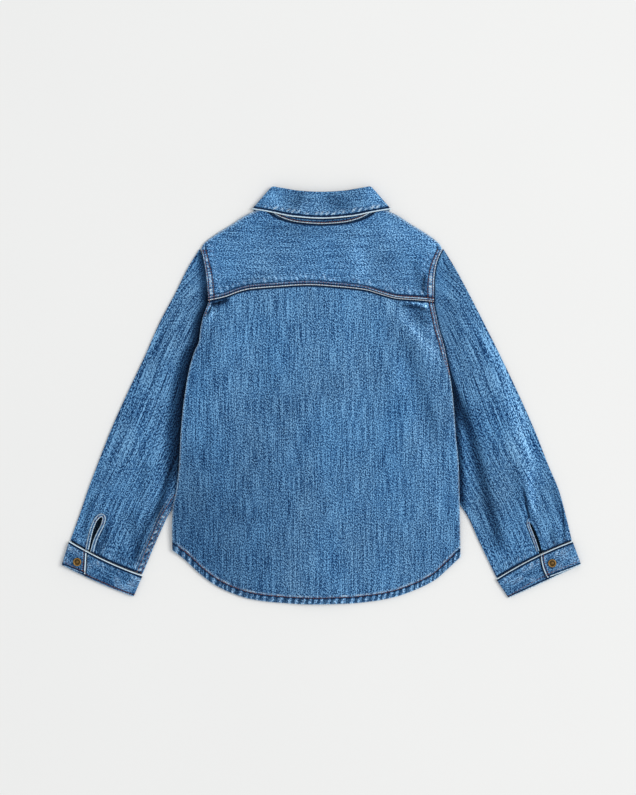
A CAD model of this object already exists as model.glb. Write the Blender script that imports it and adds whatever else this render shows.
"""Looks of a child's denim shirt that lies flat with its back upwards.

Every cut piece of the shirt is a thin closed wall with its seams, puckers and creases in the
mesh. Sizes are in millimetres and become metres in the meshes. +Z is up and +Y runs from the
hem to the collar.
"""

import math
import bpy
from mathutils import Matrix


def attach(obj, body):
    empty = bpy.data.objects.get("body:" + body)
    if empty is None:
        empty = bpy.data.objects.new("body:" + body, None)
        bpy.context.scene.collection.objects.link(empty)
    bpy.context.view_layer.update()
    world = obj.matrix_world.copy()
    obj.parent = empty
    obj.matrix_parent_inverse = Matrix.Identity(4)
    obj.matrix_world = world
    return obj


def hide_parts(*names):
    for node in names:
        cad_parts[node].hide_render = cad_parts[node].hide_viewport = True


bl_info = {
    "name": "Denim Shirt",
    "version": (1, 0, 0),
    "blender": (4, 5, 0),
    "location": "View3D > Sidebar > Shirt",
    "description": "Builds a denim shirt laid flat, with its stitching and buttons",
    "category": "Object",
}

from collections import namedtuple

import bpy
import numpy as np
from mathutils import Vector
from mathutils.bvhtree import BVHTree

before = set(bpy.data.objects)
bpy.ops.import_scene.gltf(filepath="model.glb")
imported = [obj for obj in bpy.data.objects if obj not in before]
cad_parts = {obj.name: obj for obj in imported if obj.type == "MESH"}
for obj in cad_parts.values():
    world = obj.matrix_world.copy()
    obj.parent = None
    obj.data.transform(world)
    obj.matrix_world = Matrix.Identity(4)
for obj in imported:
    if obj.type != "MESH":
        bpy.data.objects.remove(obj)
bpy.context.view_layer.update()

MM = 0.001

# Cloth
CLOTH = 1.2
CUFF_CLOTH = 1.8
LEAF_CLOTH = 1.6
BINDING_CLOTH = 1.0
SEAM = 0.3
HALF = CLOTH / 2

# How the layers lie on each other
SLEEVE_PRESSED = 3.0
LAP_LIFT = SLEEVE_PRESSED + SEAM
LEAF_LIFT = LEAF_CLOTH + 0.5
LIFT_HOLD = 10.0
LIFT_FADE = 40.0
LEAF_HOLD = 11.0
LEAF_FADE = 28.0
BACK_HEIGHT = 5.7
BACK_OVER_SLEEVE = 1.3
EDGE_FULLNESS = 35.0
CURL_DEPTH = 1.9
CURL_WIDTH = 2.5
FRONT_INSET = 2.0
EDGE_AIR = 1.1
SEAM_HEIGHT = 4.6
SLEEVE_FULLNESS = 1.9

# Closure
FRONT_LAP = 15.0
FRONT_BUTTONS = 6
FIRST_BUTTON_Y = 140.0
BUTTON_STEP = 52.0
FRONT_BUTTON_RADIUS = 5.5
FRONT_BUTTON_HEIGHT = 1.6
BUTTON_LIFT = FRONT_BUTTON_HEIGHT + SEAM
RIDGE_PAST_BUTTONS = 12.0
RIDGE_END = 28.0
RIDGE_SIDE = 30.0
LAP_FADE = 30.0

HEM_INSET = 3.0
YOKE_STEP = 0.5
YOKE_STEP_WIDTH = 9.0


def table(kind, *rows):
    """Give every row of plain numbers the names of its kind."""
    return [kind(*row) for row in rows]


# Side of the body, from the shoulder tip past the armhole to the hem
Side = namedtuple("Side", "y left right")
SIDES = table(Side,
    (168, -138.0, 138.6), (148, -134.1, 131.5), (130, -131.7, 129.4), (107, -130.6, 129.4),
    (99, -133.2, 130.5), (90, -136.6, 132.4), (75, -139.7, 135.7), (62, -141.2, 139.7),
    (50, -146.6, 142.6), (35, -151.2, 145.5), (15, -155.3, 149.3), (-12, -159.3, 152.4),
    (-45, -162.3, 154.7), (-82, -164.2, 158.1), (-110, -167.5, 158.9), (-128, -171.4, 159.3),
    (-155, -172.4, 159.9), (-186, -171.6, 160.4))

# Curves that run across the shirt
Across = namedtuple("Across", "x y")
HEM = table(Across,
    (-171.6, -178.0), (-157.0, -189.5), (-139.7, -205.6), (-122.5, -218.2), (-105.2, -226.8),
    (-82.2, -234.3), (-53.5, -238.3), (-10.0, -240.6), (32.8, -239.5), (61.5, -236.6),
    (84.5, -232.0), (107.5, -224.0), (130.5, -212.5), (147.8, -197.4), (160.4, -185.5))
YOKE_SEAM = table(Across,
    (-130.2, 108.4), (-111.0, 112.8), (-93.7, 119.1), (-82.2, 121.8), (-53.5, 124.3),
    (-15.0, 126.5), (21.3, 124.2), (50.0, 120.9), (67.3, 115.9), (86.8, 110.8), (113.3, 108.8),
    (129.4, 107.2))
# Shoulder and necklines are alike on both sides, so x is the distance from the centre
NECK_SIDE = 67.0
SHOULDER_SLANT = 0.84
SHOULDER = table(Across,
    (NECK_SIDE, 217.5), (74.0, 213.6), (80.0, 210.6), (84.0, 208.9), (102.0, 197.7),
    (122.0, 185.2), (135.5, 174.2), (138.3, 168.5))
BACK_NECK = table(Across,
    (0.0, 196.4), (24.7, 198.0), (45.4, 202.6), (57.0, 208.2), (63.0, 212.9), (NECK_SIDE, 217.5))
FRONT_NECK = table(Across,
    (0.0, 172.5), (15.0, 174.5), (32.0, 182.5), (50.0, 198.0), (60.0, 209.5), (NECK_SIDE, 216.0))

# Sleeves, from the armhole to the cuff: a cross-section's outer and inner end
Section = namedtuple("Section", "outer_x outer_y inner_x inner_y")
SLEEVES = {
    "left": table(Section,
        (-139.7, 168.6, -121.0, 50.0), (-153.5, 146.3, -119.8, 36.0),
        (-167.3, 118.7, -119.0, 20.0), (-185.7, 84.2, -119.0, 2.0), (-204.1, 42.8, -120.2, -16.0),
        (-223.7, 1.4, -124.8, -41.0), (-242.1, -40.0, -138.6, -73.0),
        (-258.2, -81.4, -159.3, -111.3), (-268.5, -109.0, -175.4, -136.6),
        (-277.9, -136.6, -188.4, -164.2), (-289.0, -167.2, -206.1, -206.0)),
    "right": table(Section,
        (139.7, 168.6, 118.0, 45.0), (153.5, 146.3, 116.5, 30.0), (168.5, 118.7, 115.5, 14.0),
        (186.2, 84.2, 115.0, -3.2), (206.9, 42.8, 115.5, -23.9), (226.6, 1.4, 117.9, -46.9),
        (245.0, -40.0, 128.2, -74.5), (261.3, -81.4, 146.9, -108.0),
        (272.9, -109.0, 167.7, -138.6), (280.7, -136.9, 181.4, -168.2),
        (288.0, -167.2, 201.5, -210.2)),
}
SECTION_STEP = 30.0
PULL_LOW_Y = 88.0
PULL_HIGH_Y = 106.0
PULL_ROWS = 2.2
PULL_WIDTH = 8.0
NOSE_RADIUS = (SLEEVE_PRESSED - CLOTH) / 2

# Cuffs: corners, the share of the width where the lapped end stops at top and bottom, how far
# the seam and the hem bow downwards, and the button's middle
Cuff = namedtuple("Cuff", "outer_top inner_top inner_hem outer_hem lap_top lap_hem "
                          "seam_bow hem_bow button")
CUFFS = {
    "left": Cuff((-289.2, -167.6), (-206.4, -206.7), (-216.8, -231.1), (-297.9, -195.4),
                 0.24, 0.32, 2.5, 1.6, (-280.3, -191.4)),
    "right": Cuff((287.6, -167.6), (201.3, -210.7), (216.1, -232.8), (297.6, -195.0),
                  0.40, 0.45, -2.5, 0.4, (264.7, -192.8)),
}
CUFF_LAP_HEIGHT = 5.1
CUFF_UPPER_HEIGHT = 3.0
CUFF_LOWER_HEIGHT = 0.9
CUFF_UNDERLAP = 9.0
CUFF_LAP_SHORT = 3.0
CUFF_FOLD = 5.0

# Slit above the cuff: middle line of its binding
SLITS = {
    "left": table(Across,
        (-268.8, -177.6), (-265.9, -163.5), (-262.5, -151.5), (-258.2, -142.5), (-253.0, -138.3),
        (-250.0, -141.2), (-251.6, -148.0), (-256.3, -157.3), (-260.9, -167.6), (-264.2, -179.8)),
    "right": table(Across,
        (249.0, -179.2), (245.6, -168.6), (241.2, -157.1), (237.8, -147.5), (238.4, -142.6),
        (242.6, -145.6), (247.6, -154.4), (252.2, -165.4), (255.6, -177.6)),
}
BINDING_WIDTHS = {"left": 4.0, "right": 3.4}
BINDING_AIR = 0.4
BINDING_CROWN = 0.35
# The binding sinks into the sleeve: only this share of half a wall keeps it up
BINDING_REST = 0.6
# How far each binding's middle lies outside its cut edge, at its first and its last end
BINDING_OUT = {"left": (0.5, 0.5), "right": (0.3, -0.9)}

# Collar, from the middle of the back round the side to the front: the right half
Leaf = namedtuple("Leaf", "fold_x fold_y fold_z edge_x edge_y edge_z lean")
COLLAR_LEAF = table(Leaf,
    (0.0, 232.9, 7.8, 0.0, 202.7, 7.5, 90), (24.7, 234.1, 7.8, 32.0, 204.9, 7.5, 90),
    (42.0, 236.8, 7.7, 57.0, 209.8, 7.2, 90), (51.0, 238.4, 7.2, 71.0, 212.3, 6.7, 95),
    (54.8, 239.5, 6.3, 77.6, 213.3, 6.0, 120), (56.2, 239.7, 4.2, 79.3, 213.6, 3.7, 180),
    (54.8, 238.6, 2.0, 77.8, 211.5, 1.2, 240), (51.0, 234.5, 0.9, 74.5, 203.0, 0.8, 265),
    (38.5, 219.5, 0.8, 70.5, 187.0, 0.8, 270), (20.5, 200.0, 0.8, 65.0, 164.0, 0.8, 270),
    (8.0, 186.0, 0.8, 60.0, 147.0, 0.8, 270))
Stand = namedtuple("Stand", "seam_x seam_y seam_z top_x top_y top_z")
COLLAR_STAND = table(Stand,
    (0.0, 196.9, 5.7, 0.0, 229.3, 5.7), (24.7, 198.5, 5.7, 23.5, 230.2, 5.7),
    (45.5, 204.0, 5.5, 39.5, 230.8, 5.7), (58.5, 212.2, 4.8, 47.5, 230.0, 5.4),
    (62.6, 217.6, 3.9, 51.0, 228.0, 4.2), (59.8, 213.0, 3.0, 50.0, 222.5, 2.9),
    (50.0, 199.4, 2.7, 41.0, 209.5, 2.7), (32.0, 183.8, 2.7, 26.0, 190.5, 2.7),
    (14.0, 175.4, 2.7, 11.5, 180.5, 2.7), (0.4, 173.6, 2.7, 0.4, 178.5, 2.7))
# The roll where the leaf folds over the stand: way back from the fold, depth below the face
Roll = namedtuple("Roll", "back depth")
LEAF_ROLL = table(Roll, (1.2, 2.6), (0.2, 2.1), (0.0, 1.5), (0.15, 0.85), (0.7, 0.4), (1.8, 0.1),
                  (3.4, 0.0))

# Corners of the leaf's front part, which the fronts lie on
LEAF_SHOULDER = (80.0, 213.0)
LEAF_POINT = (60.0, 147.0)
LEAF_THROAT = (8.0, 186.0)

# Creases: a soft ridge (+) or trough (-) along a curve through three points
Crease = namedtuple("Crease", "start_x start_y middle_x middle_y end_x end_y width height")
BODY_CREASES = table(Crease,
    (76, 118, 108, 82, 142, 36, 9.0, 0.9), (60, 96, 92, 58, 124, 12, 10.0, -0.7),
    (112, 84, 124, 62, 144, 34, 3.2, 0.55), (98, 98, 116, 70, 136, 48, 3.6, -0.5),
    (-124, 98, -130, 84, -134, 60, 8.0, 0.7), (-112, 100, -122, 84, -130, 66, 4.0, -0.45),
    (96, -2, 118, -70, 142, -150, 12.0, 0.6), (112, -18, 134, -84, 152, -140, 7.0, -0.35),
    (-18, 96, -24, 30, -20, -60, 16.0, -0.25), (34, 92, 40, 20, 36, -90, 14.0, 0.25),
    (-88, 84, -96, 10, -92, -80, 15.0, 0.3), (70, -30, 66, -90, 74, -160, 12.0, -0.25),
    (-130, -10, -134, -70, -138, -140, 9.0, -0.3), (100, 104, 114, 98, 127, 88, 3.0, -0.7),
    (96, 109, 112, 105, 128, 99, 1.8, 0.5), (-127, 106, -116, 108, -104, 113, 2.2, -0.8))
YOKE_CREASES = table(Crease,
    (118, 142, 117, 126, 118, 113, 3.6, -0.55), (92, 156, 104, 146, 112, 134, 8.0, -0.35),
    (100, 176, 84, 168, 60, 166, 12.0, 0.25), (-40, 176, 0, 166, 44, 174, 14.0, 0.2),
    (-110, 160, -100, 140, -104, 122, 9.0, -0.2))
SLEEVE_CREASES = {
    "left": table(Crease,
        (-167, -94, -182, -130, -212, -196, 5.0, -0.9),
        (-178, -96, -196, -136, -222, -200, 6.0, 0.45),
        (-186, 20, -208, -40, -232, -112, 13.0, 0.7), (-166, 60, -188, 0, -206, -60, 9.0, -0.35),
        (-258, -166, -260, -173, -259, -182, 2.2, -0.6),
        (-216, -158, -212, -178, -209, -200, 3.0, -0.7),
        (-240, -150, -244, -168, -246, -186, 4.0, 0.4),
        (-248, -160, -252, -172, -252, -184, 2.6, -0.4),
        (-276, -130, -280, -150, -282, -164, 4.0, -0.35),
        (-230, -164, -230, -180, -226, -194, 2.6, 0.35)),
    "right": table(Crease,
        (146, 16, 177, -66, 201, -168, 8.0, -1.5), (216, 12, 234, -40, 250, -120, 11.0, 0.9),
        (233, -114, 237, -130, 240, -146, 2.6, -1.1), (240, -112, 245, -130, 248, -148, 4.5, 0.6),
        (272, -118, 278, -140, 280, -168, 2.4, -1.0), (266, -120, 270, -144, 272, -168, 4.5, 0.5),
        (258, -160, 264, -168, 268, -174, 2.4, -0.5), (255, -150, 256, -162, 259, -176, 2.6, 0.45),
        (140, 96, 152, 50, 160, 10, 8.0, -0.5), (150, 100, 172, 50, 196, 0, 9.0, 0.4),
        (200, -140, 214, -166, 226, -190, 5.0, 0.35),
        (188, -130, 204, -164, 218, -196, 4.0, -0.35)),
}

# Where the dye has faded (+) or stayed dark (-), along a curve, in doublings of brightness
BODY_FADES = table(Crease,
    (62, 126, 113, 62, 139, 18, 5.5, 0.28), (98, 112, 110, 96, 124, 76, 8.0, -0.5),
    (104, 98, 114, 88, 126, 76, 5.0, -0.6), (82, 110, 92, 104, 102, 99, 4.5, -0.4),
    (84, 50, 92, 22, 96, -6, 7.0, 0.4), (122, 0, 128, -32, 134, -62, 6.0, -0.4),
    (88, 84, 110, 26, 129, -50, 9.0, -0.42), (-128, 108, -116, 104, -104, 112, 5.0, -0.8),
    (-134, 84, -130, 60, -138, 30, 9.0, -0.28), (-66, 118, -60, 40, -62, -60, 10.0, -0.13),
    (-20, 118, -14, 40, -12, -70, 11.0, 0.10), (30, 118, 32, 30, 30, -100, 11.0, 0.14),
    (94, 0, 118, -70, 144, -160, 10.0, 0.10), (88, 104, 108, 101, 126, 96, 2.2, -1.6),
    (95, 107.2, 112, 104.6, 127, 100.4, 1.1, 1.4), (84, 99, 118, 62, 141, 34, 3.2, 0.5),
    (-130, 104, -118, 106, -104, 111, 2.0, -3.6), (-133, 96, -130, 101, -124, 104, 1.1, 1.8),
    (-134, 90, -130, 95, -127, 99, 1.0, -1.8), (-130, 84, -127, 90, -125, 97, 1.0, 1.2))
YOKE_FADES = table(Crease,
    (-92, 197, -30, 190, 24, 190, 8.0, -0.50), (64, 194, 90, 186, 118, 178, 10.0, 0.35),
    (34, 182, 44, 156, 47, 124, 9.0, 0.42), (108, 190, 128, 176, 136, 158, 8.0, 0.42),
    (104, 160, 111, 138, 115, 112, 5.5, -0.65), (-120, 122, -84, 128, -44, 133, 8.0, -0.38),
    (54, 150, 72, 156, 92, 160, 9.0, -0.20), (119, 143, 117.5, 128, 117.5, 112, 1.8, -2.2))
COLLAR_FADES = table(Crease,
    (-27, 246, -25, 230, -33, 210, 5.0, -0.65), (-2, 232, 18, 222, 44, 212, 7.0, -0.55),
    (-66, 232, -52, 222, -42, 210, 7.0, 0.35), (46, 240, 60, 229, 76, 214, 7.0, 0.40),
    (-80, 210, -74, 218, -66, 228, 5.0, -0.30), (0, 240, 22, 238, 44, 240, 3.0, -0.30))
SLEEVE_FADES = {
    "left": table(Crease,
        (-200, -70, -204, -98, -207, -130, 6.0, -0.35),
        (-256, -130, -250, -155, -246, -180, 9.0, -0.3),
        (-196, -132, -207, -165, -219, -204, 3.0, -1.0),
        (-261, -108, -269, -140, -271, -172, 3.5, -0.7),
        (-258, -164, -256, -178, -251, -194, 2.5, -1.3),
        (-168, -62, -180, -108, -196, -156, 4.0, -2.0),
        (-180, -112, -196, -156, -214, -206, 7.0, -0.8),
        (-258, -126, -252, -158, -256, -190, 7.0, -0.6),
        (-218, -126, -214, -164, -212, -204, 6.5, -0.6),
        (-236, -172, -228, -184, -216, -196, 7.0, -0.45)),
    "right": table(Crease,
        (134, 72, 143, 42, 151, 16, 5.0, -0.35), (146, 30, 158, -8, 172, -46, 5.5, -1.1),
        (199, -140, 202, -162, 206, -184, 6.0, -0.55), (140, 160, 146, 142, 150, 120, 5.0, -0.35),
        (190, -112, 199, -146, 202, -184, 7.0, -0.8), (146, 24, 177, -64, 200, -172, 6.5, -1.6),
        (174, 108, 216, 6, 248, -146, 12.0, 0.66), (222, -70, 226, -105, 230, -140, 5.0, -0.40),
        (264, -92, 271, -120, 275, -148, 5.0, -0.45),
        (230, -96, 236.8, -132, 242, -158, 1.5, -3.0), (238, -78, 241, -108, 247, -142, 4.0, 0.75),
        (270, -88, 276.8, -128, 281, -182, 1.3, -2.2), (275, -110, 280, -142, 284, -176, 1.8, 0.6),
        (262, -150, 268, -166, 270, -182, 2.5, -0.8)),
}

# Cut size of each piece: width and length in metres, and its flat area in square metres
Cut = namedtuple("Cut", "width length area")


# ---------------------------------------------------------------- numbers

def smoothstep(low, high, value):
    """Rise from 0 at low to 1 at high with level ends."""
    t = np.clip((value - low) / (high - low), 0.0, 1.0)
    return t * t * (3 - 2 * t)


def fade(low, high, value):
    """Fall from 1 at low to 0 at high with level ends."""
    return 1 - smoothstep(low, high, value)


def band(value, start, full, fall, end):
    """1 from full to fall, fading to 0 at start and at end."""
    return smoothstep(start, full, value) * fade(fall, end, value)


def bell(offset, width):
    """1 in the middle, fading evenly to both sides."""
    return np.exp(-(offset / width) ** 2)


def mix(first, second, share):
    """Blend of two values: the first at a share of 0, the second at 1."""
    return first + (second - first) * share


def smooth_through(at, values):
    """Monotone cubic curve through the values; it stays level outside them."""
    at, values = np.asarray(at, float), np.asarray(values, float)
    steps = np.diff(at)
    slopes = np.diff(values) / steps
    before, after = slopes[:-1], slopes[1:]
    same_way = before * after > 0
    total = np.where(same_way, before + after, 1.0)
    inner = np.where(same_way, 2 * before * after / total, 0.0)
    tangents = np.concatenate([slopes[:1], inner, slopes[-1:]])

    def curve(position):
        place = np.clip(position, at[0], at[-1])
        span = np.clip(np.searchsorted(at, place, side="right") - 1, 0, len(steps) - 1)
        t = (place - at[span]) / steps[span]
        start = values[span] * (1 + 2 * t) + tangents[span] * steps[span] * t
        end = values[span + 1] * (3 - 2 * t) - tangents[span + 1] * steps[span] * (1 - t)
        return start * (1 - t) ** 2 + end * t * t

    return curve


def smooth(rows, key, name):
    """Give a column of the rows as a smooth function of the key column."""
    knots = sorted((getattr(row, key), getattr(row, name)) for row in rows)
    return smooth_through([knot[0] for knot in knots], [knot[1] for knot in knots])


def smooth_rows(rows):
    """Give every column of the rows as a smooth function of the row's number."""
    numbers = list(range(len(rows)))
    return {name: smooth_through(numbers, [getattr(row, name) for row in rows])
            for name in rows[0]._fields}


LINE_CELLS = 1024
GRID_CELLS = 128


def wander(seed, position):
    """Smooth random line between -1 and 1, with a step of one."""
    values = np.random.default_rng(seed).uniform(-1, 1, LINE_CELLS)
    cell = np.floor(position).astype(int)
    t = smoothstep(0, 1, position - cell)
    return values[cell % LINE_CELLS] * (1 - t) + values[(cell + 1) % LINE_CELLS] * t


def unevenness(seed, x, y):
    """Smooth random surface between -1 and 1, with a step of one."""
    values = np.random.default_rng(seed).uniform(-1, 1, (GRID_CELLS, GRID_CELLS))
    column, row = np.floor(x).astype(int), np.floor(y).astype(int)
    u, v = smoothstep(0, 1, x - column), smoothstep(0, 1, y - row)

    def at(down, over):
        return values[(row + down) % GRID_CELLS, (column + over) % GRID_CELLS]

    near = at(0, 0) * (1 - u) + at(0, 1) * u
    far = at(1, 0) * (1 - u) + at(1, 1) * u
    return near * (1 - v) + far * v


def evened(values, times):
    """Smooth a row of numbers or of places between its two ends."""
    for _ in range(times):
        values[1:-1] = (values[:-2] + 2 * values[1:-1] + values[2:]) / 4
    return values


def stacked(*parts):
    """Places, made of their separate coordinates."""
    return np.stack(parts, axis=-1)


def places_at(curves, end, axes, numbers):
    """Places on the line that one end of a table's rows draws."""
    return stacked(*(curves[end + "_" + axis](numbers) for axis in axes))


def unit(ways):
    """The same directions with a length of one."""
    return ways / np.linalg.norm(ways, axis=-1, keepdims=True)


# ---------------------------------------------------------------- outlines

WAY_OUT = {"left": -1.0, "right": 1.0}
SIDE_X = {side: smooth(SIDES, "y", side) for side in WAY_OUT}
hem_y, yoke_seam_y, shoulder_y, back_neck_y, front_neck_y = (
    smooth(line, "x", "y") for line in (HEM, YOKE_SEAM, SHOULDER, BACK_NECK, FRONT_NECK))

# Heights at which the armhole stops lying over the sleeve and at which it lies quite flat
ARMHOLE_END_Y = 107.0
FLUSH_Y = 140.0


def hem_slope(x):
    """How steeply the hem rises along x."""
    return (hem_y(x + 1) - hem_y(x - 1)) / 2


def flush(y):
    """1 where the armhole seam lies flat, 0 where the body laps over the sleeve."""
    return smoothstep(ARMHOLE_END_Y, FLUSH_Y, y)


def sleeve_inner_line(side):
    """Distance from the centre to the sleeve's hidden inner edge, for any height y."""
    sections = SLEEVES[side]
    out = WAY_OUT[side]
    points = [Across(out * sections[0].outer_x, sections[0].outer_y)]
    points += [Across(out * row.inner_x, row.inner_y) for row in sections]
    return smooth(points, "y", "x")


SLEEVE_INNER = {side: sleeve_inner_line(side) for side in SLEEVES}


def inside_side(x, y):
    """Distance from the nearer side edge of the body, positive inside it."""
    return np.where(x < 0, x - SIDE_X["left"](y), SIDE_X["right"](y) - x)


def inside_shoulder(x, y):
    """Distance from the shoulder line, positive inside the body."""
    across = np.abs(x)
    at_neck = np.hypot(NECK_SIDE - across, shoulder_y(NECK_SIDE) - y)
    at_shoulder = (shoulder_y(across) - y) * SHOULDER_SLANT
    return np.where(across < NECK_SIDE, at_neck, at_shoulder)


def outside_leaf(x, y):
    """Distance outside the collar leaf's front part, negative within it."""
    across = np.abs(x)
    distances = []
    for start, end in ((LEAF_SHOULDER, LEAF_POINT), (LEAF_POINT, LEAF_THROAT)):
        run = np.subtract(end, start)
        run = run / np.hypot(*run)
        distances.append((across - start[0]) * -run[1] + (y - start[1]) * run[0])
    return np.maximum(*distances)


# ---------------------------------------------------------------- heights

CREASE_PARTS = 10
CREASE_REACH = 3


def crease_height(creases, x, y):
    """Height that the creases add at each place."""
    height = np.zeros_like(x)
    for crease in creases:
        share = np.linspace(0, 1, CREASE_PARTS + 1)[:, None]
        start, middle, end = np.array(crease[:6], float).reshape(3, 2)
        bend = 2 * middle - (start + end) / 2
        line = start * (1 - share) ** 2 + 2 * bend * share * (1 - share) + end * share ** 2
        reach = crease.width * CREASE_REACH
        low, high = line.min(axis=0) - reach, line.max(axis=0) + reach
        near = (x > low[0]) & (x < high[0]) & (y > low[1]) & (y < high[1])
        if not near.any():
            continue
        px, py = x[near], y[near]
        best = np.full(px.shape, 1e9)
        where = np.zeros(px.shape)
        for part in range(CREASE_PARTS):
            a, b = line[part], line[part + 1]
            run = b - a
            along = ((px - a[0]) * run[0] + (py - a[1]) * run[1]) / run.dot(run)
            held = np.clip(along, 0, 1)
            away = np.hypot(px - a[0] - held * run[0], py - a[1] - held * run[1])
            closer = away < best
            best = np.where(closer, away, best)
            where = np.where(closer, (part + held) / CREASE_PARTS, where)
        ends = band(where, 0.0, 0.3, 0.7, 1.0)
        height[near] += crease.height * ends * bell(best, crease.width)
    return height


CREST_FADE = 0.22
HOLLOW_DYE = 0.16


def fold_tone(height):
    """Fading of a fold's crest, and the dye that stays in its hollow."""
    return np.where(height > 0, CREST_FADE, HOLLOW_DYE) * height


def sleeve_share(x, y):
    """1 where the body lies on a sleeve, fading to 0 towards the centre."""
    share = np.zeros_like(x)
    for side, out in WAY_OUT.items():
        past = SLEEVE_INNER[side](y) - out * x
        share = np.maximum(share, fade(LIFT_HOLD, LIFT_FADE, past))
    return share * (1 - flush(y))


def lift(x, y):
    """Height of what lies beneath the fronts: the sleeves and the collar's points."""
    leaf = LEAF_LIFT * fade(LEAF_HOLD, LEAF_FADE, outside_leaf(x, y))
    return LAP_LIFT * sleeve_share(x, y) + leaf


def button_ridge(x, y):
    """Rise of the stiff closure over the row of buttons that it lies on."""
    last_button_y = FIRST_BUTTON_Y - (FRONT_BUTTONS - 1) * BUTTON_STEP
    past = np.maximum(y - FIRST_BUTTON_Y, last_button_y - y)
    along = fade(RIDGE_PAST_BUTTONS, RIDGE_END, past)
    return BUTTON_LIFT * along * fade(FRONT_BUTTON_RADIUS, RIDGE_SIDE, np.abs(x))


def lap_rise(x):
    """Rise of the front that lies on the other one at the closure."""
    return (CLOTH + SEAM) * fade(FRONT_LAP, FRONT_LAP + LAP_FADE, np.abs(x))


def front_height(side, x, y):
    """Middle of a front's wall."""
    height = lift(x, y) + HALF + button_ridge(x, y)
    return height + lap_rise(x) if side == "right" else height


def curl(distance):
    """1 at an edge, falling to 0 where the curl ends."""
    t = np.clip(distance / CURL_WIDTH, 0.0, 1.0)
    return 1 - np.sqrt(1 - (1 - t) ** 2)


def back_height(x, y):
    """Middle of the back's and the yoke's wall, before their creases."""
    from_side = inside_side(x, y)
    from_shoulder = inside_shoulder(x, y)
    from_hem = y - hem_y(x)
    seam = flush(y)
    fronts = lift(x, y) + lap_rise(x) + button_ridge(x, y) + CLOTH
    edge = mix(fronts + SEAM + EDGE_AIR, SEAM_HEIGHT, seam * smoothstep(0, 12, from_shoulder))
    inner = BACK_HEIGHT + BACK_OVER_SLEEVE * sleeve_share(x, y)
    rise = (smoothstep(CURL_WIDTH, EDGE_FULLNESS, from_side)
            * smoothstep(CURL_WIDTH, EDGE_FULLNESS, from_shoulder)
            * smoothstep(0, EDGE_FULLNESS + 10, from_hem))
    fall = np.maximum(curl(from_side) * (1 - seam), curl(from_shoulder))
    return mix(edge, inner, rise) - CURL_DEPTH * fall


def sleeve_upper_height(side, x, y, from_outer, from_inner, to_cuff):
    """Middle of a sleeve's upper wall."""
    clear = WAY_OUT[side] * (x - SIDE_X[side](y))
    beside_body = np.maximum(smoothstep(10, 32, clear), flush(y))
    full = smoothstep(0, 24, from_outer) * mix(1.0, smoothstep(0, 16, from_inner), 1 - flush(y))
    near_cuff = mix(0.45, 1.0, smoothstep(0, 40, to_cuff))
    rise = SLEEVE_FULLNESS * beside_body * full * near_cuff
    show = np.maximum(smoothstep(1, 12, clear), flush(y)) * smoothstep(0, 8, from_outer)
    folds = crease_height(SLEEVE_CREASES[side], x, y) * show
    soft = 0.35 * unevenness(31, x / 34, y / 60) + 0.14 * unevenness(32, x / 11, y / 17)
    return SLEEVE_PRESSED - HALF + rise + folds + soft * beside_body * full, folds


# ---------------------------------------------------------------- seams

def puckers(seed, along, away, period, slant):
    """Uneven ripples that a line of stitching draws up: 1 on a crest, -1 in a trough."""
    run = (along + slant * away) / period
    run = run + 0.6 * wander(seed, run / 1.9)
    strength = 0.55 + 0.45 * wander(seed + 1, run / 1.1)
    patches = unevenness(seed + 2, run * 2.3, away / 2.2)
    return np.cos(2 * math.pi * run) * strength * 0.75 + patches * 0.55


# Light (+) and dark (-) lines beside a seam: strength, distance from the seam or edge, width
Line = namedtuple("Line", "strength place width")
HEM_LINES = table(Line, (0.5, 0.0, 0.7), (-1.1, 7.0, 0.9))
CUFF_LINES = table(Line, (2.6, 0.2, 0.55), (-3.2, 1.9, 0.8))
LAP_LINES = table(Line, (2.2, 0.2, 0.7), (-1.2, 2.2, 0.8))
LEAF_LINES = table(Line, (1.9, 0.1, 0.95), (-2.8, 2.6, 0.95))
STAND_CRESTS = table(Line, (1.6, 0.3, 0.5), (0.7, 3.2, 0.5))
STAND_LINES = table(Line, (-2.6, 1.7, 0.8), (-2.6, 5.2, 1.1))
FELLED_LINES = table(Line, (-0.8, 6.9, 0.8), (0.5, 8.6, 0.8), (-0.5, 1.2, 0.7))


def worn_lines(away, lines):
    """Wear of the light and dark lines beside a seam."""
    return sum(line.strength * bell(away - line.place, line.width) for line in lines)


# Distance from one stitch to the next
STITCH_STEP = 3.0
# Depth and half width of the groove in which a row of stitches lies
GROOVE = 0.22
GROOVE_WIDTH = 0.8


def beads(along, depth, step=STITCH_STEP, start=0.0):
    """Worn crests that stand up between the stitches of a row."""
    return 1 - depth + depth * np.cos(2 * math.pi * along / step + start)


def stitched_groove(away, place):
    """Shallow line where a row of stitching pulls the cloth down."""
    return -GROOVE * bell(away - place, GROOVE_WIDTH)


def yoke_seam_detail(x, y):
    """Height, wear and tone that the lapped yoke seam gives to the yoke just above it."""
    away = y - yoke_seam_y(x)
    ripple = puckers(11, x, away, 6.2, 0.35)
    end = 15.0 + 3 * wander(13, x / 7)
    reach = band(away, 4.4, 6.0, 8.0, end)
    strip = fade(4.8, 6.2, away)
    height = 0.30 * strip + stitched_groove(away, 3.8) + 0.24 * ripple * reach
    height += 0.08 * ripple * fade(1.0, 4.0, away)
    twice = smoothstep(10, 90, x)
    wear = 1.6 * bell(away - 0.3, mix(0.85, 0.55, twice)) * beads(x, 0.2)
    wear -= mix(1.9, 3.0, twice) * bell(away - mix(2.0, 1.4, twice), mix(0.75, 0.4, twice))
    wear += 0.9 * twice * bell(away - 2.5, 0.4) - 1.3 * twice * bell(away - 3.8, 0.7)
    wear += 0.35 * bell(away - 3.9, 0.5) * (1 - twice) - 0.85 * bell(away - 5.3, 0.9)
    wear += 0.26 * ripple * reach
    tone = (0.85 * np.maximum(ripple, 0) - 0.5 * np.maximum(-ripple, 0)) * reach
    return height, wear, tone


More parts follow.
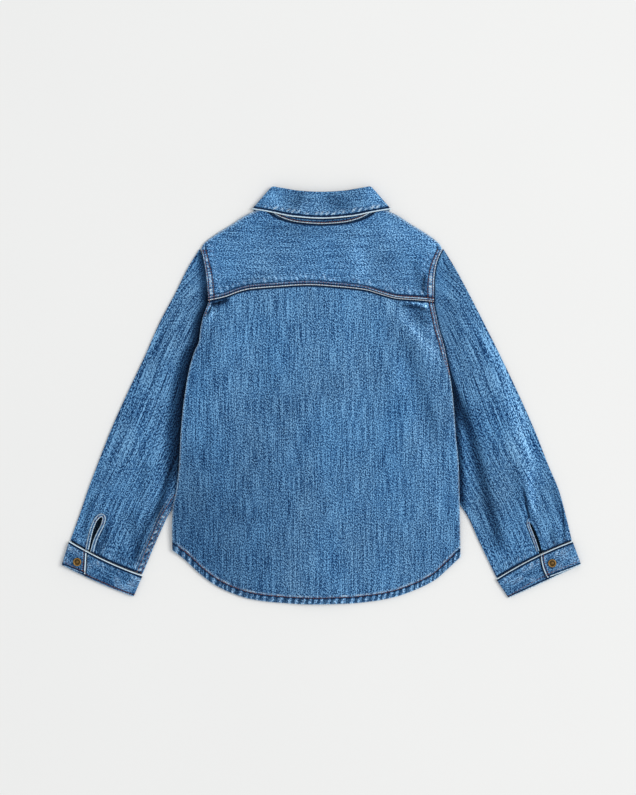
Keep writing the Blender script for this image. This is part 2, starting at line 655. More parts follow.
def below_yoke_detail(x, y):
    """Height, wear and tone of the back just below the yoke's edge."""
    away = yoke_seam_y(x) - y
    ripple = puckers(17, x, -away, 7.5, 0.4)
    ends = 0.4 + 0.6 * smoothstep(70, 110, np.abs(x))
    reach = fade(3.0, 13.0, away) * ends
    height = -0.75 * fade(-0.6, 1.6, away) + 0.2 * ripple * reach
    wear = -2.2 * bell(away - 0.6, 1.2)
    tone = 0.5 * ripple * reach
    return height, wear, tone


def hem_detail(x, y):
    """Height, wear and tone of the narrow turned hem, roped up to its stitching."""
    away = (y - hem_y(x)) / np.sqrt(1 + hem_slope(x) ** 2)
    along = np.sign(x) * np.abs(x) * (1 + 0.16 * smoothstep(80, 165, np.abs(x)))
    run = (along - 0.35 * away) / 8.0
    run = run + 0.4 * wander(23, run / 2.3)
    rope = np.tanh(2.4 * (np.cos(2 * math.pi * run) - 0.3)) * (0.8 + 0.2 * wander(24, run))
    strip = fade(6.4, 7.4, away)
    body = smoothstep(0.0, 1.0, away) * strip
    height = 0.42 * strip * smoothstep(-0.4, 1.6, away) + 0.30 * rope * body
    height += stitched_groove(away, 7.7)
    wear = np.where(rope > 0, 0.36, 0.5) * rope * body - 0.08 * body
    wear += worn_lines(away, HEM_LINES)
    patchy = 0.5 + 0.5 * wander(25, along / 4.1)
    wear += 0.6 * bell(away - 9.0, 0.7) * patchy
    above = band(away, 9.0, 10.5, 11.0, 18.0)
    height += 0.07 * rope * above
    tone = 0.6 * rope * body + 0.28 * rope * above + 0.22 * body
    return height, wear, tone


# Distance between the armhole's edge and the farther row of stitches on the back
BACK_ARMHOLE_ROW = 5.2
# Distances between the left sleeve's inner edge and its two rows of stitches
FELLED_ROWS = (6.8, 2.0)


def yoke_armhole_row(y):
    """The same distance on the yoke, where the rows draw together at the shoulder."""
    return mix(7.2, 4.8, smoothstep(118, 172, y))


def armhole_detail(x, y, from_side, strength, wide, white):
    """Height, wear and tone of the felled armhole seam, with its two rows of stitches."""
    left = x < 0
    ladder = np.where(left, puckers(41, y, 0 * y, 3.6, 0), puckers(43, y, 0 * y, 3.6, 0))
    long = np.where(left, puckers(45, y, from_side, 5.2, 0.35),
                    puckers(47, y, from_side, 5.2, -0.35))
    between = smoothstep(2.2, 3.0, from_side)
    between *= fade(wide - 1.1, wide - 0.3, from_side)
    beyond = smoothstep(wide + 0.3, wide + 1.7, from_side)
    beyond *= fade(11.0, 19.0, from_side)
    height = 0.34 * fade(wide + 0.1, wide + 1.9, from_side)
    height += stitched_groove(from_side, 1.6) + stitched_groove(from_side, wide)
    height += 0.16 * ladder * between + 0.2 * long * beyond
    wear = np.where(left, 0.55, 1.0) * bell(from_side - 0.5, 0.8) * beads(y, 0.4, start=2.2)
    wear += white * np.maximum(ladder, 0) * between - 0.8 * np.maximum(-ladder, 0) * between
    wear += np.where(left, 0.18, 0.3) * between
    wear -= 0.9 * bell(from_side - 2.0, 0.7) + 1.2 * bell(from_side - wide - 0.2, 0.9)
    wear += 0.10 * long * beyond
    tone = 0.70 * long * beyond
    return height * strength, wear * strength, tone * strength


def body_tone(x, y):
    """Broad fading of the back: darker towards the hem's left end."""
    corner = smoothstep(20, -165, x) * smoothstep(-10, -150, y)
    high = 0.12 * smoothstep(10, 70, y)
    return (crease_height(BODY_FADES, x, y) - 0.62 * corner + high
            + 0.07 * smoothstep(-60, 120, x))


def beside_body_tone(side, x, y):
    """Dark dye of a sleeve close to the body, which kept the sun and the wash off it."""
    clear = WAY_OUT[side] * (x - SIDE_X[side](y))
    if side == "left":
        along = flush(y)
        reach = mix(22.0, 12.0, smoothstep(0, 110, y))
        depth = mix(4.0, 2.4, along) * smoothstep(-118, -60, y)
    else:
        along = smoothstep(-20, 60, y)
        reach = mix(9.0, 2.2, along)
        depth = mix(3.0, 3.2, along)
    return -depth * fade(0, reach, clear)


def soft_surface(x, y):
    """Gentle unevenness of cloth that was smoothed out by hand."""
    broad = 0.30 * unevenness(51, x / 46 + 7, y / 58) + 0.16 * unevenness(52, x / 21, y / 30)
    return broad + 0.07 * unevenness(53, x / 8, y / 10)


# ---------------------------------------------------------------- meshes

Surface = namedtuple("Surface", "points wear tone across along")


def placed(name, data):
    """Make an object and put it in the scene."""
    thing = bpy.data.objects.new(name, data)
    bpy.context.scene.collection.objects.link(thing)
    return thing


def grid_normals(points, loop, flip):
    """Unit normals of a grid of points."""
    if loop:
        wrapped = np.concatenate([points[:, -1:], points, points[:, :1]], axis=1)
        across = (wrapped[:, 2:] - wrapped[:, :-2]) / 2
    else:
        across = np.gradient(points, axis=1)
    along = np.gradient(points, axis=0)
    normals = np.cross(along, across)
    length = np.linalg.norm(normals, axis=2, keepdims=True)
    normals = normals / np.maximum(length, 1e-9)
    return -normals if flip else normals


def steps_along(points, axis):
    """Length along the grid from its first row or column, at each point."""
    lengths = np.linalg.norm(np.diff(points, axis=axis), axis=2)
    total = np.cumsum(lengths, axis=axis)
    pad = [(0, 0), (0, 0)]
    pad[axis] = (1, 0)
    return np.pad(total, pad)


def from_edges(points, loop):
    """Distance along the cloth from its nearest free edge."""
    down = steps_along(points, 0)
    away = np.minimum(down, down[-1:] - down)
    if not loop:
        over = steps_along(points, 1)
        away = np.minimum(away, np.minimum(over, over[:, -1:] - over))
    return away


INSIDE_WEAR = 0.3
# A wall thins to this share of its thickness over this many walls from its edge
EDGE_THIN = 0.3
EDGE_ROUND = 0.6


def add_shell(name, surface, wall, materials, loop=False, flip=False):
    """Make a closed wall of cloth, with rounded edges, round the surface in its middle."""
    points = surface.points
    rows, columns = points.shape[:2]
    normals = grid_normals(points, loop, flip)
    share = np.clip(from_edges(points, loop) / (wall * EDGE_ROUND), 0, 1)
    thick = wall / 2 * np.maximum(np.sqrt(1 - (1 - share) ** 2), EDGE_THIN)[:, :, None]
    outer = (points + normals * thick).reshape(-1, 3)
    inner = (points - normals * thick).reshape(-1, 3)
    numbers = np.arange(rows * columns).reshape(rows, columns)
    if loop:
        numbers = np.concatenate([numbers, numbers[:, :1]], axis=1)
    a, b = numbers[:-1, :-1], numbers[:-1, 1:]
    c, d = numbers[1:, 1:], numbers[1:, :-1]
    top = stacked(a, d, c, b).reshape(-1, 4)
    under = top[:, ::-1] + rows * columns
    rims = [(numbers[0], numbers[0] + rows * columns),
            (numbers[-1] + rows * columns, numbers[-1])]
    if not loop:
        rims += [(numbers[:, 0] + rows * columns, numbers[:, 0]),
                 (numbers[:, -1], numbers[:, -1] + rows * columns)]
    sides = [stacked(first[:-1], first[1:], second[1:], second[:-1]) for first, second in rims]
    faces = np.concatenate([top, under] + sides)
    if flip:
        faces = faces[:, ::-1]
    mesh = bpy.data.meshes.new(name)
    mesh.from_pydata(np.concatenate([outer, inner]) * MM, [], faces)
    for look in materials:
        mesh.materials.append(look)
    slots = np.zeros(len(faces), np.int32)
    slots[len(top):len(top) + len(under)] = 1
    mesh.polygons.foreach_set("material_index", slots)
    corner = np.empty(len(mesh.loops), np.int32)
    mesh.loops.foreach_get("vertex_index", corner)
    places = stacked(surface.across.reshape(-1), surface.along.reshape(-1)) * MM
    places = np.concatenate([places, places])
    mesh.uv_layers.new(name="cloth").data.foreach_set("uv", places[corner].reshape(-1))
    for key, values in (("wear", surface.wear), ("tone", surface.tone)):
        values = values.reshape(-1)
        both = np.concatenate([values, values * INSIDE_WEAR]).astype(np.float32)
        mesh.attributes.new(key, "FLOAT", "POINT").data.foreach_set("value", both)
    mesh.shade_smooth()
    mesh.validate()
    return placed(name + "_cloth", mesh)


def finish_cloth(piece, node):
    """Tell the frame what the piece of cloth stands for and how it was cut."""
    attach(piece, "root")
    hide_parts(node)


def shares_of(width, near, step):
    """Places across a width: given ones close to each end, then even steps."""
    middle = np.linspace(near[-1], width - near[-1], int((width - 2 * near[-1]) / step) + 2)
    ends = np.array(near[:-1])
    return np.concatenate([ends, middle, width - ends[::-1]])


# Distances of a grid's fine steps from an edge, a seam or a hem
NEAR_EDGE = (0.0, 0.25, 0.6, 1.0, 1.5, 2.1, 2.8, 3.6, 4.6, 5.8, 7.2, 8.8, 10.6)
NEAR_END = NEAR_EDGE[:8]
NEAR_SEAM = (0.0, 0.3, 0.7, 1.1, 1.5, 1.9, 2.4, 2.9, 3.4, 3.9, 4.5, 5.2, 6.0, 7.0, 8.0, 9.2,
             10.5, 12.0, 13.6)
NEAR_HEM = (0.0, 0.3, 0.7, 1.2, 1.8, 2.5, 3.2, 4.0, 4.8, 5.6, 6.4, 7.1, 7.7, 8.3, 8.9, 9.5,
            10.2, 11.2, 12.6, 14.2)


def body_x(share, y):
    """Place across the body, with the wall's middle inside the outline."""
    inset = mix(HALF, SEAM / 2, flush(y))
    return mix(SIDE_X["left"](y) + inset, SIDE_X["right"](y) - inset, share)


def seam_y(share):
    """Height of the yoke seam where a column of the body crosses it."""
    y = np.full_like(share, ARMHOLE_END_Y)
    for _ in range(4):
        y = yoke_seam_y(body_x(share, y))
    return y


BODY_WIDTH = 300.0
TUCKED_UNDER = (5.0, 4.0, 3.0, 2.2, 1.5, 0.9, 0.4)


def rows_between(top, end, near_top, near_end, step):
    """Heights of a grid's rows: fine ones near both ends and even ones between them."""
    start = top - near_top[-1]
    stop = end + near_end[-1]
    count = int((start - stop).max() / step) + 1
    shares = np.linspace(0, 1, count + 1)[:, None]
    upper = [top - away for away in near_top[:-1]]
    lower = [end + away for away in near_end[-2::-1]]
    return np.concatenate([upper, mix(start, stop, shares), lower])


def with_details(height, tone, details, held=1.0):
    """Add what the seams do to a piece's height, wear and tone."""
    wear = np.zeros_like(height)
    for rise, worn, faded in details:
        height = height + rise * held
        wear = wear + worn
        tone = tone + faded
    return height, wear, tone


def back_surface():
    """Back panel, whose top is tucked under the yoke's edge."""
    share = shares_of(BODY_WIDTH, NEAR_EDGE, 1.55)[None, :] / BODY_WIDTH
    top = (seam_y(share) - SEAM / 2)[0]
    end = hem_y(body_x(share, SIDES[-1].y))[0]
    rows = rows_between(top, end, NEAR_SEAM, NEAR_HEM, 2.5)
    tucked = np.stack([top + away for away in TUCKED_UNDER])
    y = np.concatenate([tucked, rows])
    x = body_x(share, y)
    from_side = inside_side(x, y)
    height = back_height(x, y)
    inner = smoothstep(3, 16, from_side) * smoothstep(4, 24, y - hem_y(x))
    creases = crease_height(BODY_CREASES, x, y) * smoothstep(0.5, 5, from_side)
    height = height + creases + soft_surface(x, y) * inner
    tone = body_tone(x, y) + fold_tone(creases)
    on_right = (x > 0) * smoothstep(22, 60, y) * smoothstep(112, 104, y)
    on_left = (x < 0) * smoothstep(84, 98, y) * smoothstep(112, 104, y)
    seams = (below_yoke_detail(x, y), hem_detail(x, y),
             armhole_detail(x, y, from_side, on_right + on_left, BACK_ARMHOLE_ROW, 0.4))
    height, wear, tone = with_details(height, tone, seams)
    wear = wear + (1 - on_right - on_left) * (0.35 * bell(from_side - 0.4, 1.2))
    return Surface(stacked(x, y, height), wear, tone, x, y)


def yoke_surface():
    """Yoke, from its lapped seam up to the neck and the shoulders."""
    share = shares_of(BODY_WIDTH, NEAR_EDGE, 1.3)[None, :] / BODY_WIDTH
    x_top = body_x(share, SIDES[0].y)[0]
    across = np.abs(x_top)
    top = np.where(across < NECK_SIDE, back_neck_y(across) - SEAM / 2,
                   shoulder_y(across) - HALF)
    end = seam_y(share)[0] + SEAM / 2
    y = rows_between(top, end, NEAR_EDGE[:10], NEAR_SEAM, 1.6)
    x = body_x(share, y)
    from_side = inside_side(x, y)
    from_top = np.where(np.abs(x) < NECK_SIDE, top - y, (top - y) * SHOULDER_SLANT)
    step = YOKE_STEP * fade(0, YOKE_STEP_WIDTH, y - end)
    height = back_height(x, y) + step
    inner = smoothstep(3, 14, from_side) * smoothstep(3, 18, from_top)
    creases = crease_height(YOKE_CREASES, x, y) * inner
    height = height + creases + soft_surface(x, y) * inner
    tone = crease_height(YOKE_FADES, x, y) + fold_tone(creases)
    seams = (yoke_seam_detail(x, y),
             armhole_detail(x, y, from_side, smoothstep(0, 6, from_top), yoke_armhole_row(y),
                            0.8))
    height, wear, tone = with_details(height, tone, seams, smoothstep(0, 4, from_top))
    on_shoulder = np.abs(x) > NECK_SIDE
    wear = wear - (1 - on_shoulder) * 2.2 * bell(from_top - 0.4, 1.4)
    wear = wear + on_shoulder * 0.3 * bell(from_top - 0.5, 1.4)
    return Surface(stacked(x, y, height), wear, tone, y, x)


def front_top_y(x):
    """Upper edge of a front: its half of the neckline and its shoulder line."""
    across = np.abs(x)
    return np.where(across < NECK_SIDE, front_neck_y(across) - SEAM / 2,
                    shoulder_y(across) - FRONT_INSET / SHOULDER_SLANT)


CLOSURE_WIDTH = 58.0
FRONT_NEAR = (0.0, 0.3, 0.8, 2.0)
FRONT_STEP = 3.0
FRONT_COLUMNS = 33


def front_surface(side):
    """Columns follow the side edge, and near the closure they run straight down."""
    out = WAY_OUT[side]
    closure = -out * (FRONT_LAP - shares_of(CLOSURE_WIDTH * 2, FRONT_NEAR[:3], FRONT_STEP))
    closure = closure[np.abs(closure + out * FRONT_LAP) <= CLOSURE_WIDTH]
    start_x = closure[-1]
    outer = np.linspace(0, 1, FRONT_COLUMNS + 1)[:-1]
    shares = np.concatenate([outer, np.ones(len(closure))])
    fixed = np.concatenate([np.zeros(len(outer)), closure[::-1] - start_x])

    def x_at(y):
        edge = SIDE_X[side](y) - out * mix(FRONT_INSET, SEAM / 2, flush(y))
        return mix(edge, start_x, shares) + fixed

    top = np.full(len(shares), float(SIDES[0].y))
    for _ in range(6):
        top = front_top_y(x_at(top))
    end = hem_y(x_at(np.full(len(shares), float(SIDES[-1].y)))) + HEM_INSET
    y = rows_between(top, end, FRONT_NEAR, NEAR_HEM[::2], 3.5)
    x = x_at(y)
    if side == "right":
        x, y = x[:, ::-1], y[:, ::-1]
    wear, tone = hem_detail(x, y - HEM_INSET)[1:]
    return Surface(stacked(x, y, front_height(side, x, y)), wear, tone, x, y)


NOSE_ANGLES = np.radians([-75.0, -45.0, -15.0, 15.0, 45.0, 75.0])
SLEEVE_NEAR = (0.9, 1.6, 2.4, 3.4, 4.6, 6.0, 7.6, 9.4)
LOWER_SHARES = np.linspace(0.02, 0.98, 22)
SLEEVE_COLUMNS = 100
GATHER_SEEDS = {"left": 63, "right": 65}


def sleeve_edges(side, numbers):
    """Places on the sleeve's outer and inner edge."""
    curves = smooth_rows(SLEEVES[side])
    return (places_at(curves, end, "xy", numbers) for end in ("outer", "inner"))


def felled_detail(x, y, from_inner, to_cuff):
    """Height and wear of the left sleeve's felled seam, once it is clear of the body."""
    clear = smoothstep(0, 8, SIDE_X["left"](y) - x) * (1 - flush(y))
    ripple = puckers(61, np.broadcast_to(to_cuff, x.shape), from_inner, 5.4, 0.5)
    strip = band(from_inner, 1.6, 2.6, 6.0, 7.4)
    height = (0.28 * fade(6.4, 8.4, from_inner) + stitched_groove(from_inner, FELLED_ROWS[0])
              + 0.2 * ripple * strip)
    return clear * height, clear * (ripple * strip + worn_lines(from_inner, FELLED_LINES))


def sleeve_nose(edge, inward):
    """The fold that joins the sleeve's walls along one edge."""
    away = NOSE_RADIUS * (1 - np.cos(NOSE_ANGLES))
    rise = SLEEVE_PRESSED / 2 + NOSE_RADIUS * np.sin(NOSE_ANGLES)
    nose = edge[:, None, :] + inward[:, None, :] * away[None, :, None]
    return stacked(nose[..., 0], nose[..., 1], np.broadcast_to(rise, nose.shape[:2]))


def sleeve_surface(side):
    """Once round the sleeve: outer fold, upper wall, inner fold, lower wall."""
    last = len(SLEEVES[side]) - 1
    numbers = np.concatenate([[0.0, 0.012, 0.03], np.linspace(0.06, last - 0.5, 150),
                              np.linspace(last - 0.5, last, 18)[1:]])
    cuff = CUFFS[side]
    out = WAY_OUT[side]
    cuff_way = np.subtract(cuff.outer_hem, cuff.outer_top)
    cuff_way = cuff_way / np.hypot(*cuff_way)
    outer, inner = sleeve_edges(side, numbers)
    along = unit(inner - outer)
    outer = outer + along * HALF
    inner = inner - along * HALF
    width = np.linalg.norm(inner - outer, axis=1)
    near_ends = np.array(SLEEVE_NEAR)
    shares = np.linspace(0, 1, SLEEVE_COLUMNS)[1:-1]
    step = mix(near_ends[-1], width[:, None] - near_ends[-1], shares[None, :])
    near = np.broadcast_to(near_ends, (len(numbers), len(near_ends)))
    step = np.concatenate([near, step, width[:, None] - near[:, ::-1]], axis=1)
    x = outer[:, :1] + along[:, :1] * step
    y = outer[:, 1:] + along[:, 1:] * step
    seam_x = SIDE_X[side](y) + out * SEAM / 2
    pull = smoothstep(PULL_LOW_Y, PULL_HIGH_Y, y) * fade(0, PULL_ROWS, numbers)[:, None]
    x = x + (seam_x - x) * pull * smoothstep(0, PULL_WIDTH, step)
    share = step / width[:, None]
    near_cuff = smoothstep(last - 2, last, numbers)[:, None]
    bow = cuff.seam_bow * 4 * share * (1 - share) * near_cuff
    x = x + cuff_way[0] * bow
    y = y + cuff_way[1] * bow
    to_cuff = ((last - numbers) * SECTION_STEP)[:, None]
    from_inner = width[:, None] - step
    height, folds = sleeve_upper_height(side, x, y, step, from_inner, to_cuff)
    wear = np.zeros_like(x)
    tone = crease_height(SLEEVE_FADES[side], x, y) + beside_body_tone(side, x, y)
    tone = tone + fold_tone(folds)
    if side == "left":
        rise, worn = felled_detail(x, y, from_inner, to_cuff)
        height = height + rise
        wear = wear + worn
    gather = puckers(GATHER_SEEDS[side], step, to_cuff, 6.6, 0.12)
    reach = fade(1.0, 13.0 + 5 * wander(67, step / 9), to_cuff)
    height = height + 0.24 * gather * reach
    wear = wear + 0.12 * gather * reach - 3.4 * bell(to_cuff - 0.2, 1.0)
    tone = tone + 0.45 * gather * reach
    bow = cuff.seam_bow * 4 * LOWER_SHARES * (1 - LOWER_SHARES) * near_cuff
    lower_x = mix(x[:, -1:], x[:, :1], LOWER_SHARES) + cuff_way[0] * bow
    lower_y = mix(y[:, -1:], y[:, :1], LOWER_SHARES) + cuff_way[1] * bow
    lower = stacked(lower_x, lower_y, np.full_like(lower_x, HALF))
    points = np.concatenate([sleeve_nose(outer, along), stacked(x, y, height),
                             sleeve_nose(inner, -along)[:, ::-1], lower], axis=1)
    blank = np.zeros((len(numbers), len(NOSE_ANGLES)))
    wear, tone = (np.concatenate([blank, values, blank, np.zeros_like(lower_x)], axis=1)
                  for values in (wear, tone))
    around = steps_along(points, 1)
    around = around - around[:, around.shape[1] // 2][:, None]
    down = np.broadcast_to((numbers * SECTION_STEP)[:, None], around.shape)
    return Surface(points, wear, tone, around, down)


def cuff_place(side, share, down):
    """Places on a cuff: share of the way from its outer end, and down from its seam."""
    cuff = CUFFS[side]
    outer_top, inner_top, inner_hem, outer_hem = np.array(cuff[:4])
    share = np.asarray(share)[..., None]
    down = np.asarray(down)[..., None]
    top = mix(outer_top, inner_top, share)
    hem = mix(outer_hem, inner_hem, share)
    bow = mix(cuff.seam_bow, cuff.hem_bow, down) * 4 * share * (1 - share)
    return mix(top, hem, down) + unit(hem - top) * bow


def cuff_width(side, down):
    """Width of the cuff as it lies, at one distance down from its seam."""
    return np.linalg.norm(cuff_place(side, 1.0, down) - cuff_place(side, 0.0, down))


# How far the end of a cuff's lap bends out of its straight line, halfway down
CUFF_LAP_BOW = {"left": 0.0, "right": 1.9}


def level_run(start, end, height, steps, first=0):
    """Distances and one height along a layer of the cuff."""
    return [(mix(start, end, number / steps), height) for number in range(first, steps + 1)]


def half_turn(start, way, radius, first_angle, count):
    """Distances and heights round a fold of the cuff."""
    return [(start + way * radius * (1 - math.cos(angle)),
             CUFF_LOWER_HEIGHT + radius * (1 + math.sin(angle)))
            for angle in np.radians(np.linspace(first_angle, -first_angle, count))]


def cuff_turn(side, down):
    """Distances and heights once round a cuff, from its lapped end to the end beneath."""
    cuff = CUFFS[side]
    width = cuff_width(side, down)
    lap = (mix(cuff.lap_top, cuff.lap_hem, down) * width
           + CUFF_LAP_BOW[side] * 4 * down * (1 - down))
    outer_radius = (CUFF_LAP_HEIGHT - CUFF_LOWER_HEIGHT) / 2
    inner_radius = (CUFF_UPPER_HEIGHT - CUFF_LOWER_HEIGHT) / 2
    turn = [(lap - away, CUFF_LAP_HEIGHT) for away in NEAR_END]
    turn += level_run(lap - NEAR_END[-1], CUFF_FOLD, CUFF_LAP_HEIGHT, 26, 1)
    turn += half_turn(0.0, 1, outer_radius, 90, 13)
    turn += level_run(CUFF_FOLD, width - CUFF_FOLD, CUFF_LOWER_HEIGHT, 25)
    turn += half_turn(width, -1, inner_radius, -90, 10)
    turn += level_run(width - CUFF_FOLD, CUFF_UNDERLAP, CUFF_UPPER_HEIGHT, 75)
    return np.array([(away / width, height) for away, height in turn])


# What sets the looks of the two cuffs apart
CuffLook = namedtuple("CuffLook", "seed edge_wear darkness")
CUFF_LOOKS = {"left": CuffLook(71, 0.3, 0.36), "right": CuffLook(73, 1.0, 0.06)}
# Heights above this are on the cuff's lapped end
LAP_LEVEL = 4.2
CUFF_DOWN = (0.0, 0.25, 0.6, 1.0, 1.5, 2.1, 2.8, 3.6, 4.6, 5.6, 6.8, 8.0, 9.4, 10.8, 12.2, 13.6,
             15.0, 16.4, 17.8, 19.2, 20.4, 21.5, 22.5, 23.4, 24.2, 24.9, 25.5, 26.0, 26.4, 26.7,
             27.0)


def cuff_surface(side):
    """Once round a cuff, from the end that is buttoned over to the end beneath it."""
    cuff = CUFFS[side]
    depth = np.linalg.norm(np.subtract(cuff.outer_hem, cuff.outer_top))
    points, beyond = [], []
    for row in np.array(CUFF_DOWN) / CUFF_DOWN[-1]:
        down = mix(SEAM / depth, 1.0, row)
        share, height = cuff_turn(side, down).T
        beyond.append((share - share[0]) * cuff_width(side, down))
        over = smoothstep(CUFF_UPPER_HEIGHT, CUFF_LAP_HEIGHT, height)
        short = over * (CUFF_LAP_SHORT / depth) * share / cuff.lap_hem
        place = cuff_place(side, share, down * (1 - short))
        points.append(np.concatenate([place, height[:, None]], axis=1))
    points = np.array(points)
    around = steps_along(points, 1)
    down = steps_along(points, 0)
    from_hem = down[-1:] - down
    look = CUFF_LOOKS[side]
    ripple = puckers(look.seed, around, down, 7.0, 0.6)
    reach = band(down, 1.6, 3.0, 5.5, 11.0)
    low = band(from_hem, 1.8, 3.0, 4.0, 8.0)
    soft = unevenness(look.seed + 4, around / 9, down / 7)
    bulge = 0.26 * smoothstep(0.5, 2.5, down) * smoothstep(0.5, 2.5, from_hem)
    upper = smoothstep(2.4, 2.9, points[..., 2])
    relief = (0.16 * ripple * reach + 0.08 * ripple * low + 0.12 * soft) * upper
    relief += (stitched_groove(down, 1.9) + stitched_groove(from_hem, 2.2)
               + stitched_groove(around, 3.2) + 0.4 * bulge) * upper
    points[..., 2] += relief
    wear = worn_lines(down, CUFF_LINES)
    wear += 0.22 * ripple * reach + 0.1 * ripple * low + 0.12 * soft
    wear += look.edge_wear * bell(from_hem - 0.6, 0.5)
    wear -= 1.6 * bell(from_hem - 2.1, 0.8)
    on_lap = points[..., 2] > LAP_LEVEL
    wear += np.where(on_lap, worn_lines(around, LAP_LINES), 0)
    tone = 0.5 * ripple * reach + 0.2 * ripple * low + 0.35 * soft
    tone -= look.darkness
    tone -= np.where(on_lap, 0, 3.2) * bell(np.array(beyond) - 0.9, 1.3)
    return Surface(points, wear, tone, down, around)


def mirrored(rows, names):
    """Rows from one end round the middle to the other, from the right half's rows."""
    left = [row._replace(**{name: -getattr(row, name) for name in names}) for row in rows[1:]]
    return left[::-1] + list(rows)


LEAF_NEAR_EDGE = (0.0, 0.25, 0.6, 1.0, 1.5, 2.0, 2.6, 3.2, 4.0, 5.0, 6.2, 7.6)
LEAF_ROWS = 360


def leaf_numbers():
    """Row numbers of the collar's table, closer together at its two ends."""
    last = 2 * (len(COLLAR_LEAF) - 1)
    return np.concatenate([[0.0, 0.01, 0.03, 0.06], np.linspace(0.1, last - 0.1, LEAF_ROWS),
                           [last - 0.06, last - 0.03, last - 0.01, last]])


def leaf_surface():
    """Collar's leaf: it rolls over its fold, down the back and under the shirt."""
    rows = mirrored(COLLAR_LEAF, ("fold_x", "edge_x"))
    curves = smooth_rows(rows)
    middle = (len(rows) - 1) / 2
    numbers = leaf_numbers()
    fold = places_at(curves, "fold", "xyz", numbers)
    edge = places_at(curves, "edge", "xyz", numbers)
    away = unit(edge - fold)
    out = np.where(numbers >= middle, 1.0, -1.0)[:, None]
    sideways = unit(stacked(-away[:, 1], away[:, 0], 0 * numbers))
    sideways = np.where(sideways[:, :1] * out < 0, -sideways, sideways)
    lean = np.radians(curves["lean"](numbers) - 90)[:, None]
    outward = sideways * np.sin(lean) + np.array([0, 0, 1.0]) * np.cos(lean)
    columns = [fold + away * roll.back - outward * roll.depth for roll in LEAF_ROLL]
    start = columns[-1]
    width = np.linalg.norm(edge - start, axis=1, keepdims=True)
    far = LEAF_NEAR_EDGE[-1]
    distances = [mix(0.0, width - far, share) for share in np.linspace(0, 1, 16)[1:]]
    distances += [width - near for near in LEAF_NEAR_EDGE[-2::-1]]
    columns += [start + away * distance for distance in distances]
    points = np.stack(columns, axis=1)
    along = steps_along(points, 0)
    along = along - along[len(numbers) // 2][None, :]
    across = steps_along(points, 1)
    from_edge = across[:, -1:] - across
    ripple = puckers(81, along, from_edge, 6.6, -0.9)
    reach = band(from_edge, 2.4, 4.0, 6.0, 11.0)
    soft = unevenness(83, along / 17, from_edge / 10)
    relief = 0.17 * ripple * reach + 0.16 * soft * smoothstep(2, 8, from_edge)
    relief = relief * smoothstep(0, 6, width - from_edge)
    relief += stitched_groove(from_edge, 2.4)
    points = points + outward[:, None, :] * relief[..., None]
    wear = worn_lines(from_edge, LEAF_LINES)
    low = band(from_edge, 3.0, 4.0, 6.5, 9.0)
    wear += (0.26 + 0.42 * low) * np.maximum(ripple, 0) * reach
    tone = crease_height(COLLAR_FADES, points[..., 0], points[..., 1])
    tone += 0.5 * ripple * reach
    tone += 0.3 * unevenness(85, along / 19 + 3, from_edge / 12) * smoothstep(3, 9, from_edge)
    return Surface(points, wear, tone, from_edge, along)


# Heights above this are on the part of the stand that shows at the back
STAND_BACK_LEVEL = 4.0


def stand_surface():
    """Collar's stand, from the neck seam to the leaf's fold."""
    rows = mirrored(COLLAR_STAND, ("seam_x", "top_x"))
    curves = smooth_rows(rows)
    numbers = np.linspace(0, len(rows) - 1, 260)
    seam = places_at(curves, "seam", "xyz", numbers)
    top = places_at(curves, "top", "xyz", numbers)
    width = np.linalg.norm(top - seam, axis=1, keepdims=True)
    near = np.array(NEAR_END) / width
    rest = mix(NEAR_END[-1] / width, 1 - NEAR_END[2] / width, np.linspace(0, 1, 14)[1:][None, :])
    shares = np.concatenate([near, rest, 1 - NEAR_END[1] / width, np.ones_like(width)], axis=1)
    points = mix(seam[:, None, :], top[:, None, :], shares[..., None])
    from_seam = shares * width
    along = steps_along(points, 0)
    along = along - along[len(numbers) // 2][None, :]
    ripple = puckers(87, along, from_seam, 5.0, 0.3)
    points[..., 2] += (0.1 * ripple * fade(2, 5, from_seam)
                       + stitched_groove(from_seam, 1.6)) * (points[..., 2] > STAND_BACK_LEVEL)
    wear = worn_lines(from_seam, STAND_CRESTS) * beads(along, 0.3, step=2.9)
    wear += worn_lines(from_seam, STAND_LINES)
    tone = -0.8 + 0.3 * ripple * smoothstep(2, 4, from_seam)
    return Surface(points, wear, tone, from_seam, along)


BINDING_ROWS = 110
BINDING_OFFSETS = np.array([-1.0, -0.9, -0.75, -0.55, -0.3, 0.0, 0.3, 0.55, 0.75, 0.9, 1.0])
# Hits below this height are on the sleeve's lower wall, seen through the slit
UPPER_WALL = 2.0


def slit_line(side, count):
    """Evenly numbered places on the smooth middle line of a slit's binding."""
    curves = smooth_rows(SLITS[side])
    at = np.linspace(0, len(SLITS[side]) - 1, count)
    return evened(stacked(curves["x"](at), curves["y"](at)), 3)


def surface_tree(name):
    """A piece of cloth, ready to be asked where its surface lies."""
    bpy.context.view_layer.update()
    piece = bpy.data.objects[name + "_cloth"]
    return BVHTree.FromObject(piece, bpy.context.evaluated_depsgraph_get())


def drop(tree, x, y):
    """Place and normal of a surface straight below a place in millimetres."""
    place, normal = tree.ray_cast(Vector((x * MM, y * MM, 1.0)), Vector((0, 0, -1)))[:2]
    return None if place is None else (place / MM, normal)


